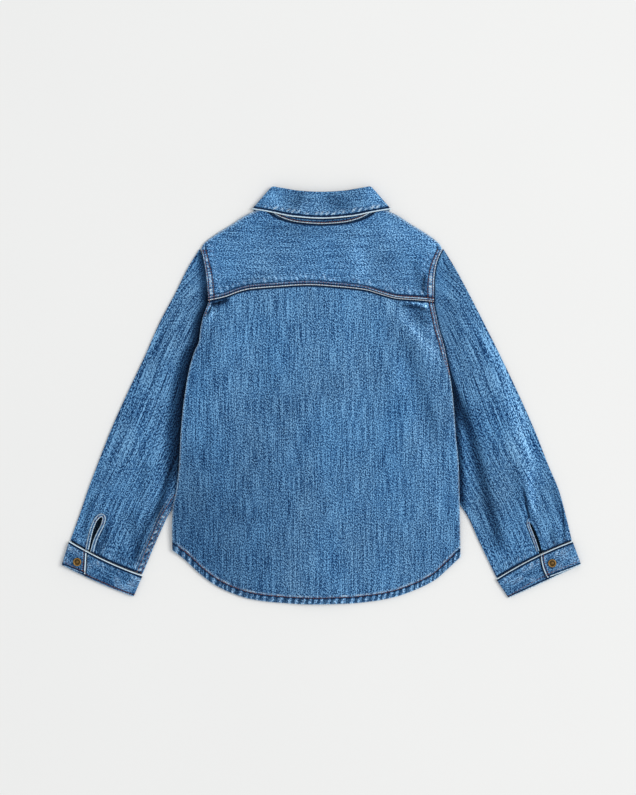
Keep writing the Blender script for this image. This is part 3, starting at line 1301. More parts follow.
def binding_surface(side):
    """Binding round a slit, laid on the sleeve that is already there."""
    tree = surface_tree("sleeve_" + side)
    line = slit_line(side, BINDING_ROWS)
    way = unit(np.gradient(line, axis=0))
    aside = stacked(-way[:, 1], way[:, 0])
    half = BINDING_WIDTHS[side] / 2
    outward = mix(*BINDING_OUT[side], smoothstep(0.4, 0.6, np.linspace(0, 1, len(line))))
    points = np.full((len(line), len(BINDING_OFFSETS), 3), np.nan)
    for column, offset in enumerate(BINDING_OFFSETS):
        points[:, column, :2] = line + aside * (offset * half + outward[:, None])
        for row, (x, y) in enumerate(points[:, column, :2]):
            hit = drop(tree, x, y)
            if hit and hit[0].z > UPPER_WALL:
                points[row, column, 2] = hit[0].z
    level = evened(np.nanmax(points[..., 2], axis=1), 6)
    crown = BINDING_CROWN * (1 - BINDING_OFFSETS ** 2)
    points[..., 2] = level[:, None] + BINDING_AIR + HALF * BINDING_REST + crown
    along = steps_along(points, 0)
    across = np.broadcast_to(BINDING_OFFSETS * half, along.shape)
    wear = 2.4 * bell(np.abs(across) - 0.72 * half, 0.5) - 1.5 * bell(across, 0.5)
    tone = np.full_like(wear, -0.4)
    if side == "right":
        lit = fade(0.42, 0.52, along / along[-1:])
        wear = wear * lit * 0.75
        tone = tone * lit
    return Surface(points, wear, tone, across + 0, along)


# ---------------------------------------------------------------- materials

class NodeBuilder:
    """Small helper that adds and links a tree's nodes."""

    def __init__(self, tree):
        self.tree = tree

    def put(self, socket, value):
        """Link an input to another node's output, or give it a plain value."""
        if isinstance(value, bpy.types.NodeSocket):
            self.tree.links.new(value, socket)
        else:
            socket.default_value = value

    def fill(self, node, **inputs):
        """Set inputs by their names, with _ for a space."""
        for key, value in inputs.items():
            self.put(node.inputs[key.replace("_", " ")], value)

    def add(self, kind, settings=None, **inputs):
        node = self.tree.nodes.new(kind)
        for key, value in (settings or {}).items():
            setattr(node, key, value)
        self.fill(node, **inputs)
        return node

    def math(self, operation, first, second=0.0, third=0.0, clamp=False):
        node = self.add("ShaderNodeMath", {"operation": operation, "use_clamp": clamp})
        for socket, value in zip(node.inputs, (first, second, third)):
            self.put(socket, value)
        return node.outputs[0]


class MaterialBuilder(NodeBuilder):
    """Makes a material and adds its nodes."""

    def __init__(self, name):
        self.material = bpy.data.materials.new(name)
        self.material.use_nodes = True
        super().__init__(self.material.node_tree)

    def shade(self, **inputs):
        """Set inputs of the material's shader."""
        self.fill(self.tree.nodes["Principled BSDF"], **inputs)

    def bump(self, height, strength, distance):
        """Let a fine relief change the way the surface faces."""
        node = self.add("ShaderNodeBump", Height=height, Strength=strength, Distance=distance)
        self.shade(Normal=node.outputs[0])

    def here(self):
        return self.add("ShaderNodeTexCoord").outputs["Object"]

    def attribute(self, name):
        """Numbers that the mesh carries for each of its points."""
        return self.add("ShaderNodeAttribute", {"attribute_name": name}).outputs["Fac"]

    def noise(self, vector, stretch, scale, detail, roughness=0.5, turn=0.0):
        """Noise with about `scale` waves in a metre, stretched and turned."""
        mapping = self.add("ShaderNodeMapping", Rotation=(0.0, 0.0, turn), Vector=vector,
                           Scale=stretch)
        return self.add("ShaderNodeTexNoise", Vector=mapping.outputs[0], Scale=scale,
                        Detail=detail, Roughness=roughness).outputs["Fac"]

    def blend(self, factor, first, second, kind="MIX"):
        node = self.add("ShaderNodeMix", {"data_type": "RGBA", "blend_type": kind})
        for number, value in zip((0, 6, 7), (factor, first, second)):
            self.put(node.inputs[number], value)
        return node.outputs[2]


def scaled(colour, factor):
    """The colour made lighter or darker."""
    return tuple(channel * factor for channel in colour[:3]) + (1.0,)


# Indigo keeps its blue where it is dark, so red changes most
TONE_SHARES = {"Red": 1.2, "Green": 1.0, "Blue": 0.86}
EVEN = (1.0, 1.0, 1.0)
ALONG_WARP = (1.0, 0.04, 1.0)


def make_denim(name, settings, tint, slub):
    """Washed denim: light and dark yarns, slubs along the warp, and light and dark wear."""
    build = MaterialBuilder(name)
    place = build.add("ShaderNodeUVMap", {"uv_map": "cloth"}).outputs[0]
    here = build.here()
    yarn = build.noise(place, (1.0, 0.66, 1.0), 920.0, 0.0, turn=0.5)
    fine = build.noise(place, ALONG_WARP, 860.0, 0.0)
    broad = build.noise(place, ALONG_WARP, 320.0, 1.0)
    mottle = build.noise(here, EVEN, 26.0, 3.0, 0.55)
    shares = ((yarn, settings.grain), (fine, settings.slub * slub),
              (broad, settings.slub * slub * 0.6), (mottle, settings.mottle))
    tone = 0.5 - sum(share for _, share in shares) / 2
    for source, share in shares:
        tone = build.math("MULTIPLY_ADD", source, share, tone)
    ramp = build.add("ShaderNodeValToRGB", Fac=tone)
    ramp.color_ramp.elements.new(0.5)
    for stop, dye in zip(ramp.color_ramp.elements,
                         (settings.indigo, settings.denim, settings.washed)):
        stop.color = scaled(dye, tint)
    cast = build.noise(here, (1.0, 0.6, 1.0), 17.0, 2.0)
    cast = build.math("MULTIPLY_ADD", cast, 2.0, -0.5, clamp=True)
    cast = build.blend(cast, (1.09, 1.0, 0.95, 1.0), (0.88, 1.0, 1.05, 1.0))
    dyed = build.blend(1.0, ramp.outputs["Color"], cast, "MULTIPLY")
    faded = build.attribute("tone")
    gain = build.add("ShaderNodeCombineColor", **{
        channel: build.math("POWER", 2.0 ** share, faded)
        for channel, share in TONE_SHARES.items()})
    dyed = build.blend(1.0, dyed, gain.outputs[0], "MULTIPLY")
    uneven = build.math("MULTIPLY_ADD", yarn, 1.6, 0.2)
    worn = build.math("MULTIPLY", build.attribute("wear"), uneven)
    light = build.math("MULTIPLY", worn, 0.95, clamp=True)
    dark = build.math("MULTIPLY", worn, -1.0, clamp=True)
    colour = build.blend(light, dyed, scaled(settings.worn, 1.0))
    colour = build.blend(dark, colour, scaled(settings.shade, 1.0))
    build.shade(Base_Color=colour, Roughness=0.88, Specular_IOR_Level=0.06,
                Sheen_Weight=0.02, Sheen_Roughness=0.5)
    twill = build.add("ShaderNodeTexWave", {"bands_direction": "DIAGONAL"}, Vector=place,
                      Scale=230.0, Distortion=1.2, Detail=1.0)
    relief = build.math("MULTIPLY_ADD", twill.outputs["Fac"], 0.5, yarn)
    build.bump(build.math("MULTIPLY_ADD", fine, 0.8, relief), 0.5, 0.0003)
    return build.material


def make_thread(name, settings):
    """Twisted sewing thread."""
    build = MaterialBuilder(name)
    uneven = build.noise(build.here(), EVEN, 900.0, 2.0)
    thread = settings.thread
    build.shade(Base_Color=build.blend(uneven, scaled(thread, 0.6), scaled(thread, 1.5)),
                Roughness=0.7)
    return build.material


def make_brass(name, settings):
    """Dull cast brass, darker where the wear doesn't reach."""
    build = MaterialBuilder(name)
    uneven = build.noise(build.here(), EVEN, 700.0, 3.0, 0.6)
    share = build.math("MULTIPLY_ADD", uneven, 0.6, build.attribute("wear"))
    share = build.math("SUBTRACT", share, 0.3, clamp=True)
    colour = build.blend(share, scaled(settings.brass, 0.18), scaled(settings.brass, 1.0))
    build.shade(Base_Color=colour, Metallic=0.85,
                Roughness=build.math("MULTIPLY_ADD", uneven, 0.3, 0.28))
    build.bump(uneven, 0.3, 0.0002)
    return build.material


# Tint of each kind of denim, and the strength of its slubs
DENIMS = {
    "washed denim": (1.0, 1.0),
    "yoke denim": (1.17, 0.75),
    "collar denim": (1.07, 0.8),
    "sleeve denim": (1.0, 1.4),
    "binding denim": (1.0, 0.6),
    "denim inside": (1.5, 0.5),
    "sleeve inside": (0.10, 0.5),
}


def material(name):
    """Give one of the shirt's materials, made the first time it is asked for."""
    settings = bpy.context.scene.shirt
    if name in bpy.data.materials:
        return bpy.data.materials[name]
    if name in DENIMS:
        return make_denim(name, settings, *DENIMS[name])
    return {"sewing thread": make_thread, "aged brass": make_brass}[name](name, settings)


# ---------------------------------------------------------------- buttons and stitches

# A button's rings, from the middle of its top over its rim to the middle of its underside
Ring = namedtuple("Ring", "radius height wear")
CUFF_BUTTON = table(Ring,
    (0.0, 1.45, 0.45), (0.8, 1.5, 0.5), (1.5, 1.35, 0.2), (2.1, 1.15, 0.0), (2.6, 1.15, 0.0),
    (3.0, 1.5, 0.2), (3.3, 2.0, 0.6), (3.6, 2.3, 0.9), (4.0, 2.4, 0.95), (4.4, 2.25, 0.7),
    (4.7, 1.9, 0.35), (4.9, 1.45, 0.1), (4.8, 1.0, 0.0), (4.5, 0.6, 0.0), (4.3, 0.4, 0.0),
    (4.2, 0.05, 0.0), (0.0, 0.0, 0.0))
FRONT_BUTTON = table(Ring,
    (0.0, 1.6, 0.3), (2.0, 1.6, 0.3), (4.7, 1.6, 0.3), (5.1, 1.5, 0.4), (5.5, 1.1, 0.6),
    (5.5, 0.5, 0.9), (5.2, 0.15, 1.0), (4.6, 0.0, 1.0), (3.6, 0.0, 0.9), (3.1, 0.25, 0.4),
    (2.7, 0.4, 0.1), (1.4, 0.35, 0.3), (0.0, 0.3, 0.5))
BUTTON_SIDES = 48


def add_button(node, rings, place):
    """Turn the rings about the button's own axis into one closed body."""
    angles = np.linspace(0, 2 * math.pi, BUTTON_SIDES, endpoint=False)
    points, wear, faces, before = [], [], [], None
    for ring in rings:
        count = BUTTON_SIDES if ring.radius else 1
        around = [len(points) + side % count for side in range(BUTTON_SIDES + 1)]
        points += [(ring.radius * math.cos(angle), ring.radius * math.sin(angle), ring.height)
                   for angle in angles[:count]]
        wear += [ring.wear] * count
        if before:
            corners = zip(before, around, around[1:], before[1:])
            faces += [tuple(dict.fromkeys(face)) for face in corners]
        before = around
    mesh = bpy.data.meshes.new(node + "_brass")
    mesh.from_pydata((np.array(points) + np.array(place)) * MM, [], faces)
    mesh.materials.append(material("aged brass"))
    mesh.attributes.new("wear", "FLOAT", "POINT").data.foreach_set("value", wear)
    mesh.shade_smooth()
    button = placed(node + "_brass", mesh)
    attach(button, "root")
    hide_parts(node)


def stitch_tree(thread):
    """Geometry nodes that lay stitches along every line of a mesh."""
    tree = bpy.data.node_groups.new("rows of stitches", "GeometryNodeTree")
    tree.is_modifier = True
    tree.interface.new_socket("Lines", in_out="INPUT", socket_type="NodeSocketGeometry")
    sizes = {}
    for name in ("Pitch", "Stitch length", "Thread radius"):
        socket = tree.interface.new_socket(name, in_out="INPUT", socket_type="NodeSocketFloat")
        socket.subtype = "DISTANCE"
        sizes[name] = socket.identifier
    tree.interface.new_socket("Stitches", in_out="OUTPUT", socket_type="NodeSocketGeometry")
    build = NodeBuilder(tree)
    given = build.add("NodeGroupInput").outputs
    curves = build.add("GeometryNodeMeshToCurve", Mesh=given["Lines"])
    even = build.add("GeometryNodeResampleCurve", {"mode": "LENGTH"},
                     Curve=curves.outputs["Curve"], Length=given["Pitch"])
    half = build.math("MULTIPLY", given["Stitch length"], 0.5)
    back = build.math("MULTIPLY", given["Stitch length"], -0.5)
    first, middle, last = (
        build.add("ShaderNodeCombineXYZ", **place).outputs[0]
        for place in ({"X": back}, {"Z": given["Thread radius"]}, {"X": half}))
    bow = build.add("GeometryNodeCurveQuadraticBezier", Resolution=4, Start=first,
                    Middle=middle, End=last)
    ring = build.add("GeometryNodeCurvePrimitiveCircle", Resolution=5,
                     Radius=given["Thread radius"])
    solid = build.add("GeometryNodeCurveToMesh", Curve=bow.outputs[0],
                      Profile_Curve=ring.outputs[0], Fill_Caps=True)
    tangent = build.add("GeometryNodeInputTangent")
    ahead = build.add("FunctionNodeAlignRotationToVector", {"axis": "X"},
                      Vector=tangent.outputs[0])
    up = build.add("GeometryNodeInputNamedAttribute", {"data_type": "FLOAT_VECTOR"},
                   Name="cloth_up")
    upright = build.add("FunctionNodeAlignRotationToVector", {"axis": "Z", "pivot_axis": "X"},
                        Rotation=ahead.outputs[0], Vector=up.outputs["Attribute"])
    size = build.add("FunctionNodeRandomValue", {"data_type": "FLOAT"})
    for end, value in (("Min", 0.88), ("Max", 1.1), ("Seed", 5)):
        size.inputs[end].default_value = value
    size = next(out for out in size.outputs if out.enabled)
    laid = build.add("GeometryNodeInstanceOnPoints", Points=even.outputs[0],
                     Instance=solid.outputs[0], Rotation=upright.outputs[0], Scale=size)
    whole = build.add("GeometryNodeRealizeInstances", Geometry=laid.outputs[0])
    finish = build.add("GeometryNodeSetMaterial", Material=thread, Geometry=whole.outputs[0])
    build.put(build.add("NodeGroupOutput").inputs[0], finish.outputs[0])
    return tree, sizes


def add_stitches(name, lines):
    """Lay stitches along lines of (place, normal) pairs, given in millimetres."""
    settings = bpy.context.scene.shirt
    points, edges, ups = [], [], []
    for line in lines:
        edges += [(number, number + 1) for number in
                  range(len(points), len(points) + len(line) - 1)]
        points += [Vector(place) * MM for place, _ in line]
        ups += [normal for _, normal in line]
    mesh = bpy.data.meshes.new(name + " lines")
    mesh.from_pydata(points, edges, [])
    attribute = mesh.attributes.new("cloth_up", "FLOAT_VECTOR", "POINT")
    attribute.data.foreach_set("vector", np.array(ups, np.float32).reshape(-1))
    guide = placed(name + " lines", mesh)
    tree, sizes = stitch_tree(material("sewing thread"))
    sewn = guide.modifiers.new("stitches", "NODES")
    sewn.node_group = tree
    sewn[sizes["Pitch"]] = settings.stitch_pitch
    sewn[sizes["Stitch length"]] = settings.stitch_length
    sewn[sizes["Thread radius"]] = settings.thread_radius
    result = applied(guide, sewn)
    bpy.data.objects.remove(guide, do_unlink=True)
    bpy.data.node_groups.remove(tree)
    result.name = name
    result.shade_smooth()
    piece = placed(name, result)
    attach(piece, "root")


def applied(piece, modifier):
    """Give the mesh that a piece's modifier makes, and take the modifier away."""
    bpy.context.view_layer.update()
    ready = piece.evaluated_get(bpy.context.evaluated_depsgraph_get())
    result = bpy.data.meshes.new_from_object(ready)
    piece.modifiers.remove(modifier)
    return result


# How deep the thread's middle lies below the face of the cloth
THREAD_SINK = 0.12


def line_on(tree, places, sink=THREAD_SINK):
    """Follow places on a piece's surface: give each point's place and normal."""
    hits = [drop(tree, float(x), float(y)) for x, y in places]
    return [(place - normal * sink, normal) for place, normal in filter(None, hits)]


def spaced(x, y, step=1.2):
    """Points at even steps along a line."""
    run = np.concatenate([[0], np.cumsum(np.hypot(np.diff(x), np.diff(y)))])
    at = np.linspace(0, run[-1], max(int(run[-1] / step), 2))
    return stacked(np.interp(at, run, x), np.interp(at, run, y))


def line_in(surface, rows, columns, wall, flip=False, sink=THREAD_SINK):
    """Follow a path of row and column numbers on a surface's outer face."""
    normals = grid_normals(surface.points, False, flip)
    line = []
    for row, column in zip(rows, columns):
        r = min(int(row), surface.points.shape[0] - 2)
        c = min(int(column), surface.points.shape[1] - 2)
        u, v = row - r, column - c

        def between(values):
            near = values[r, c] * (1 - v) + values[r, c + 1] * v
            far = values[r + 1, c] * (1 - v) + values[r + 1, c + 1] * v
            return near * (1 - u) + far * u

        normal = between(normals)
        normal = normal / max(np.linalg.norm(normal), 1e-9)
        line.append((Vector(between(surface.points) + normal * (wall / 2 - sink)),
                     Vector(normal)))
    return line


def number_at(values, wanted):
    """Number, with its fraction, at which rising values reach the wanted one."""
    return np.interp(wanted, values, np.arange(len(values)))


# ---------------------------------------------------------------- settings

def colour(name, description, red, green, blue):
    return bpy.props.FloatVectorProperty(name=name, description=description, size=4,
                                         subtype="COLOR", default=(red, green, blue, 1.0),
                                         min=0, max=1)


def amount(name, description, default, low, high):
    return bpy.props.FloatProperty(name=name, description=description, default=default,
                                   min=low, max=high)


def distance(name, description, default, low, high, precision=3):
    return bpy.props.FloatProperty(name=name, description=description, default=default,
                                   min=low, max=high, precision=precision,
                                   subtype="DISTANCE", unit="LENGTH")


class ShirtSettings(bpy.types.PropertyGroup):
    """Sizes and colours that change the shirt's finish"""

    indigo: colour("Indigo", "Darkest yarns of the denim", 0.0, 0.016, 0.072)
    denim: colour("Denim", "Middle colour of the denim", 0.0445, 0.140, 0.311)
    washed: colour("Washed", "Lightest yarns of the denim", 0.200, 0.430, 0.700)
    worn: colour("Worn edge", "Edges rubbed nearly white", 0.72, 0.87, 0.94)
    shade: colour("Unworn dye", "Dye left in the folds of a seam", 0.003, 0.014, 0.045)
    thread: colour("Thread", "Colour of the sewing thread", 0.23, 0.085, 0.045)
    brass: colour("Brass", "Colour of the buttons", 0.36, 0.21, 0.065)
    slub: amount("Slubs", "Contrast of the streaks along the warp", 0.9, 0, 3)
    grain: amount("Grain", "Contrast of the twill grain", 2.35, 0, 12)
    mottle: amount("Mottle", "Contrast of the broad wash patches", 0.25, 0, 3)
    stitch_pitch: distance("Stitch pitch", "Distance from one stitch to the next",
                           0.0030, 0.001, 0.01, 5)
    stitch_length: distance("Stitch length", "Length of thread that shows in a stitch",
                            0.0018, 0.0005, 0.01, 5)
    thread_radius: distance("Thread radius", "Half the thread's thickness",
                            0.00033, 0.0001, 0.001, 5)


class StageSettings(bpy.types.PropertyGroup):
    """Floor, light and camera"""

    floor: colour("Floor", "Colour of the floor", 0.86, 0.86, 0.85)
    key: amount("Key light", "Power of the large soft light, in watts", 425.0, 0, 10000)
    fill: amount("Fill light", "Strength of the even light from all sides", 0.70, 0, 10)
    camera_height: distance("Camera height", "Height of the camera over the shirt",
                            2.54, 0.5, 10)
    view_height: distance("View height", "Height of floor that the picture shows",
                          0.91425, 0.1, 10)
    aim: bpy.props.FloatVectorProperty(
        name="Aim", description="Place on the floor below the camera", size=2,
        default=(-0.004, -0.0026), subtype="TRANSLATION", unit="LENGTH")


# ---------------------------------------------------------------- operators

def add_cloth(node, surface, wall, looks, flip=False):
    """Build a cut piece from its surface and the looks of its outer and inner side."""
    cloth = [material(look) for look in looks]
    finish_cloth(add_shell(node, surface, wall, cloth, flip=flip), node)


class SHIRT_OT_back(bpy.types.Operator):
    """Build the back panel with its turned hem"""

    bl_idname = "shirt.back"
    bl_label = "Back"

    def execute(self, context):
        add_cloth("back", back_surface(), CLOTH, ("washed denim", "denim inside"))
        return {"FINISHED"}


class SHIRT_OT_yoke(bpy.types.Operator):
    """Build the yoke over both shoulders"""

    bl_idname = "shirt.yoke"
    bl_label = "Yoke"

    def execute(self, context):
        add_cloth("yoke", yoke_surface(), CLOTH, ("yoke denim", "denim inside"))
        return {"FINISHED"}


class SHIRT_OT_fronts(bpy.types.Operator):
    """Build the two fronts that lie under the back"""

    bl_idname = "shirt.fronts"
    bl_label = "Fronts"

    def execute(self, context):
        for side in WAY_OUT:
            add_cloth("front_" + side, front_surface(side), CLOTH,
                      ("denim inside", "washed denim"))
        return {"FINISHED"}


class SHIRT_OT_sleeves(bpy.types.Operator):
    """Build both sleeves, open at their slits"""

    bl_idname = "shirt.sleeves"
    bl_label = "Sleeves"

    def execute(self, context):
        cloth = [material("sleeve denim"), material("sleeve inside")]
        for side in WAY_OUT:
            node = "sleeve_" + side
            piece = add_shell(node, sleeve_surface(side), CLOTH, cloth, loop=True,
                              flip=side == "right")
            cut_slit(side, piece)
            finish_cloth(piece, node)
        return {"FINISHED"}


# Heights between which the slit is cut, and how far its outline runs on below its ends
SLIT_LOW = 1.6
SLIT_HIGH = 12.0
SLIT_RUN_ON = 4.0


def cut_slit(side, sleeve):
    """Cut the slit through the sleeve's upper wall."""
    cuff = CUFFS[side]
    line = slit_line(side, 60)
    way = np.subtract(cuff.outer_hem, cuff.outer_top)
    way = way / np.hypot(*way) * SLIT_RUN_ON
    outline = np.concatenate([[line[0] + way], line, [line[-1] + way]])
    count = len(outline)
    low, high = (np.concatenate([outline, np.full((count, 1), height)], axis=1)
                 for height in (SLIT_LOW, SLIT_HIGH))
    faces = [tuple(range(count)), tuple(range(2 * count - 1, count - 1, -1))]
    faces += [(i, i + count, (i + 1) % count + count, (i + 1) % count) for i in range(count)]
    mesh = bpy.data.meshes.new("slit cutter")
    mesh.from_pydata(np.concatenate([low, high]) * MM, [], faces)
    turn = sum(a[0] * b[1] - b[0] * a[1] for a, b in zip(outline, np.roll(outline, -1, axis=0)))
    if turn > 0:
        mesh.flip_normals()
    cutter = placed("slit cutter", mesh)
    cut = sleeve.modifiers.new("slit", "BOOLEAN")
    cut.operation = "DIFFERENCE"
    cut.solver = "EXACT"
    cut.object = cutter
    whole = sleeve.data
    sleeve.data = applied(sleeve, cut)
    bpy.data.meshes.remove(whole)
    bpy.data.objects.remove(cutter, do_unlink=True)
    bpy.data.meshes.remove(mesh)


class SHIRT_OT_bindings(bpy.types.Operator):
    """Build the narrow bindings round the slits"""

    bl_idname = "shirt.bindings"
    bl_label = "Slit bindings"

    def execute(self, context):
        for side in WAY_OUT:
            add_cloth("slit_binding_" + side, binding_surface(side), BINDING_CLOTH,
                      ["binding denim"] * 2, flip=True)
        return {"FINISHED"}


class SHIRT_OT_cuffs(bpy.types.Operator):
    """Build both lapped cuffs"""

    bl_idname = "shirt.cuffs"
    bl_label = "Cuffs"

    def execute(self, context):
        for side in WAY_OUT:
            add_cloth("cuff_" + side, cuff_surface(side), CUFF_CLOTH, ["collar denim"] * 2,
                      flip=side == "left")
        return {"FINISHED"}


class SHIRT_OT_collar(bpy.types.Operator):
    """Build the collar's stand and its folded leaf"""

    bl_idname = "shirt.collar"
    bl_label = "Collar"

    def execute(self, context):
        looks = ["collar denim"] * 2
        add_cloth("collar_stand", stand_surface(), CLOTH, looks)
        add_cloth("collar_leaf", leaf_surface(), LEAF_CLOTH, looks,
                  flip=True)
        return {"FINISHED"}


class SHIRT_OT_buttons(bpy.types.Operator):
    """Build the buttons of the cuffs and of the front"""

    bl_idname = "shirt.buttons"
    bl_label = "Buttons"

    def execute(self, context):
        for side in WAY_OUT:
            base = CUFF_LAP_HEIGHT + CUFF_CLOTH / 2 + SEAM
            add_button("cuff_button_" + side, CUFF_BUTTON, (*CUFFS[side].button, base))
        for number in range(FRONT_BUTTONS):
            y = FIRST_BUTTON_Y - number * BUTTON_STEP
            add_button("front_button_" + str(number + 1), FRONT_BUTTON, (0.0, y, 0.0))
        return {"FINISHED"}


class SHIRT_OT_stitching(bpy.types.Operator):
    """Sew the rows of stitches along the seams"""

    bl_idname = "shirt.stitching"
    bl_label = "Stitching"

    def execute(self, context):
        add_stitches("body_stitching", body_lines())
        add_stitches("trim_stitching", trim_lines())
        return {"FINISHED"}


# Rows of stitches: distance from the seam or the edge, and the thread's depth in the cloth
Row = namedtuple("Row", "away sink")
YOKE_ROWS = (Row(3.8, THREAD_SINK), Row(0.9, 0.3))
HEM_ROW = Row(7.6, 0.2)
LEAF_ROW = Row(2.3, 0.46)
CUFF_SEAM_ROW = Row(2.0, 0.62)
CUFF_HEM_ROW = Row(2.2, 0.24)
BINDING_SINK = 0.28
YOKE_ARMHOLE_ROW = 1.6
NEAR_ARMHOLE_ROW = 1.9
STAND_ROW = 1.5
LAP_ROW = 3.1
# Where the rows on the body run: along x for the yoke and the hem, else along y
YOKE_RUN = np.linspace(-129.0, 128.0, 240)
HEM_RUN = np.linspace(-168.5, 157.5, 320)
YOKE_ARMHOLE_RUN = np.linspace(166.0, 108.0, 90)
RIGHT_ARMHOLE_RUN = np.linspace(106.5, 24.0, 90)
LEFT_ARMHOLE_RUN = np.linspace(106.5, 92.0, 16)
# Numbers of the sleeve's sections between which its felled seam shows
FELLED_RUN = np.linspace(7.2, 9.97, 120)


def body_lines():
    """Rows of stitches on the back, the yoke and the fronts."""
    back, yoke = surface_tree("back"), surface_tree("yoke")
    x = YOKE_RUN
    lines = [line_on(yoke, spaced(x, yoke_seam_y(x) + row.away), row.sink) for row in YOKE_ROWS]
    x = HEM_RUN
    slope = hem_slope(x)
    lean = np.sqrt(1 + slope ** 2)
    row = spaced(x - slope / lean * HEM_ROW.away, hem_y(x) + HEM_ROW.away / lean)
    lines.append(line_on(back, row, HEM_ROW.sink))
    y = YOKE_ARMHOLE_RUN
    for side, out in WAY_OUT.items():
        for inset in (YOKE_ARMHOLE_ROW, yoke_armhole_row(y)):
            lines.append(line_on(yoke, spaced(SIDE_X[side](y) - out * inset, y)))
    y = RIGHT_ARMHOLE_RUN
    for inset in (NEAR_ARMHOLE_ROW, BACK_ARMHOLE_ROW):
        x = SIDE_X["right"](y) - inset * smoothstep(10, 60, y)
        lines.append(line_on(back, spaced(x, y)))
    y = LEFT_ARMHOLE_RUN
    lines.append(line_on(back, spaced(SIDE_X["left"](y) + NEAR_ARMHOLE_ROW, y)))
    return lines


# Part of each slit's binding on which the thread lies on top
SLIT_STITCHES = {"left": slice(26, 60), "right": slice(6, 36)}


def trim_lines():
    """Rows of stitches on the sleeves, the cuffs and the collar."""
    leaf, stand = leaf_surface(), stand_surface()
    rows = np.arange(6, len(leaf.points) - 6)
    columns = [number_at(-leaf.across[row], -LEAF_ROW.away) for row in rows]
    lines = [line_in(leaf, rows, columns, LEAF_CLOTH, True, LEAF_ROW.sink)]
    rows = np.arange(60, len(stand.points) - 60)
    columns = [number_at(stand.across[row], STAND_ROW) for row in rows]
    lines.append(line_in(stand, rows, columns, CLOTH))
    for side in WAY_OUT:
        cuff = cuff_surface(side)
        down, around = cuff.across, cuff.along
        flip = side == "left"
        columns = np.arange(3, down.shape[1] - 2)
        hem_row = down[-1].min() - CUFF_HEM_ROW.away
        for wanted, sink in (CUFF_SEAM_ROW, (hem_row, CUFF_HEM_ROW.sink)):
            rows = [number_at(down[:, column], wanted) for column in columns]
            lines.append(line_in(cuff, rows, columns, CUFF_CLOTH, flip, sink))
        rows = np.arange(4, len(down) - 8, 0.7)
        columns = [number_at(around[int(row)], LAP_ROW) for row in rows]
        lines.append(line_in(cuff, rows, columns, CUFF_CLOTH, flip))
        path = slit_line(side, 90)[SLIT_STITCHES[side]]
        lines.append(line_on(surface_tree("slit_binding_" + side), spaced(*path.T),
                             BINDING_SINK))
    sleeve = surface_tree("sleeve_left")
    outer, inner = sleeve_edges("left", FELLED_RUN)
    for inset in FELLED_ROWS:
        path = inner + unit(outer - inner) * inset
        lines.append(line_on(sleeve, spaced(*path.T)))
    return lines


FLOOR_REACH = 4.0
FLOOR_HEIGHT = -0.0002
SKY = (0.97, 0.985, 1.0, 1.0)
LIGHT_PLACE = (6.2, 1.4, 7.0)
LIGHT_SIZE = (4.8, 4.2)
LIGHT_COLOUR = (1.0, 0.985, 0.965)
SENSOR_WIDTH = 36.0
# The camera's height is counted from the cloth, not from the floor
CAMERA_BASE = 0.002


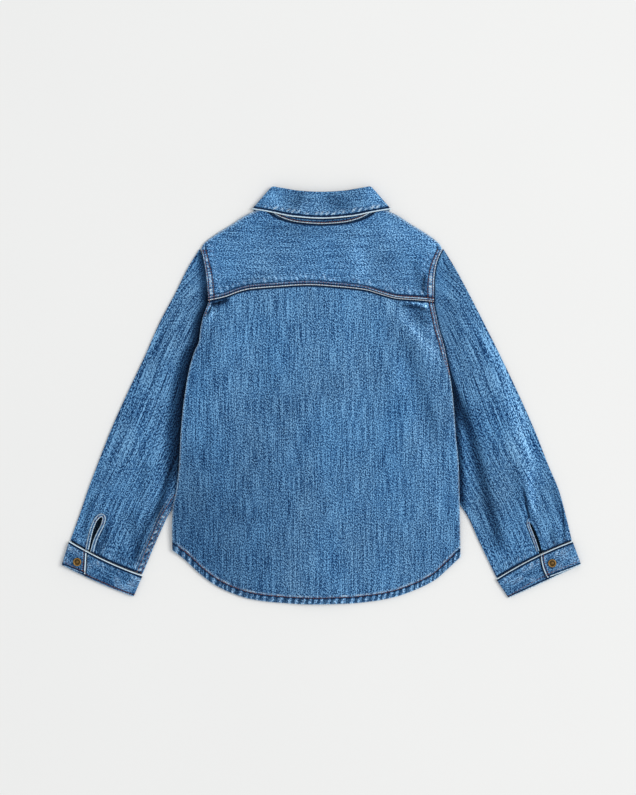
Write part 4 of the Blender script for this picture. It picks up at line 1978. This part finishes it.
class SHIRT_OT_stage(bpy.types.Operator):
    """Set up the floor, the light and the camera"""

    bl_idname = "shirt.stage"
    bl_label = "Stage"

    def execute(self, context):
        scene = context.scene
        stage = scene.shirt_stage
        mesh = bpy.data.meshes.new("floor")
        corners = ((-1, -1), (1, -1), (1, 1), (-1, 1))
        mesh.from_pydata([(x * FLOOR_REACH, y * FLOOR_REACH, FLOOR_HEIGHT) for x, y in corners],
                         [], [(0, 1, 2, 3)])
        build = MaterialBuilder("pale floor")
        uneven = build.noise(build.here(), EVEN, 3.0, 2.0)
        shade = build.blend(uneven, scaled(stage.floor, 0.985), scaled(stage.floor, 1.015))
        build.shade(Base_Color=shade, Roughness=0.9, Specular_IOR_Level=0.1)
        mesh.materials.append(build.material)
        floor = placed("floor", mesh)
        world = bpy.data.worlds.new("studio")
        world.use_nodes = True
        background = world.node_tree.nodes["Background"]
        background.inputs["Color"].default_value = SKY
        background.inputs["Strength"].default_value = stage.fill
        scene.world = world
        light = bpy.data.lights.new("key", "AREA")
        light.shape = "RECTANGLE"
        light.size, light.size_y = LIGHT_SIZE
        light.energy = stage.key
        light.color = LIGHT_COLOUR
        lamp = placed("key", light)
        lamp.location = LIGHT_PLACE
        lamp.rotation_euler = (-lamp.location).to_track_quat("-Z", "Y").to_euler()
        view = bpy.data.cameras.new("above")
        view.sensor_width = SENSOR_WIDTH
        view.lens = SENSOR_WIDTH * stage.camera_height / stage.view_height
        camera = placed("above", view)
        camera.location = (*stage.aim, stage.camera_height + CAMERA_BASE)
        scene.camera = camera
        scene.view_settings.view_transform = "Standard"
        return {"FINISHED"}


class SHIRT_PT_panel(bpy.types.Panel):
    """Lists the shirt's pieces and settings"""

    bl_idname = "SHIRT_PT_panel"
    bl_label = "Denim shirt"
    bl_space_type = "VIEW_3D"
    bl_region_type = "UI"
    bl_category = "Shirt"

    def draw(self, context):
        layout = self.layout
        for name in ShirtSettings.__annotations__:
            layout.prop(context.scene.shirt, name)
        for name in StageSettings.__annotations__:
            layout.prop(context.scene.shirt_stage, name)
        for operator in OPERATORS:
            layout.operator(operator.bl_idname)


OPERATORS = (SHIRT_OT_back, SHIRT_OT_yoke, SHIRT_OT_fronts, SHIRT_OT_sleeves,
             SHIRT_OT_bindings, SHIRT_OT_cuffs, SHIRT_OT_collar, SHIRT_OT_buttons,
             SHIRT_OT_stitching, SHIRT_OT_stage)
CLASSES = (ShirtSettings, StageSettings) + OPERATORS + (SHIRT_PT_panel,)


def register():
    for item in CLASSES:
        bpy.utils.register_class(item)
    bpy.types.Scene.shirt = bpy.props.PointerProperty(type=ShirtSettings)
    bpy.types.Scene.shirt_stage = bpy.props.PointerProperty(type=StageSettings)


def unregister():
    del bpy.types.Scene.shirt_stage
    del bpy.types.Scene.shirt
    for item in reversed(CLASSES):
        bpy.utils.unregister_class(item)


def main():
    register()
    bpy.ops.shirt.back()
    bpy.ops.shirt.yoke()
    bpy.ops.shirt.fronts()
    bpy.ops.shirt.sleeves()
    bpy.ops.shirt.bindings()
    bpy.ops.shirt.cuffs()
    bpy.ops.shirt.collar()
    bpy.ops.shirt.buttons()
    bpy.ops.shirt.stitching()
    bpy.ops.shirt.stage()


if __name__ == "__main__":
    main()
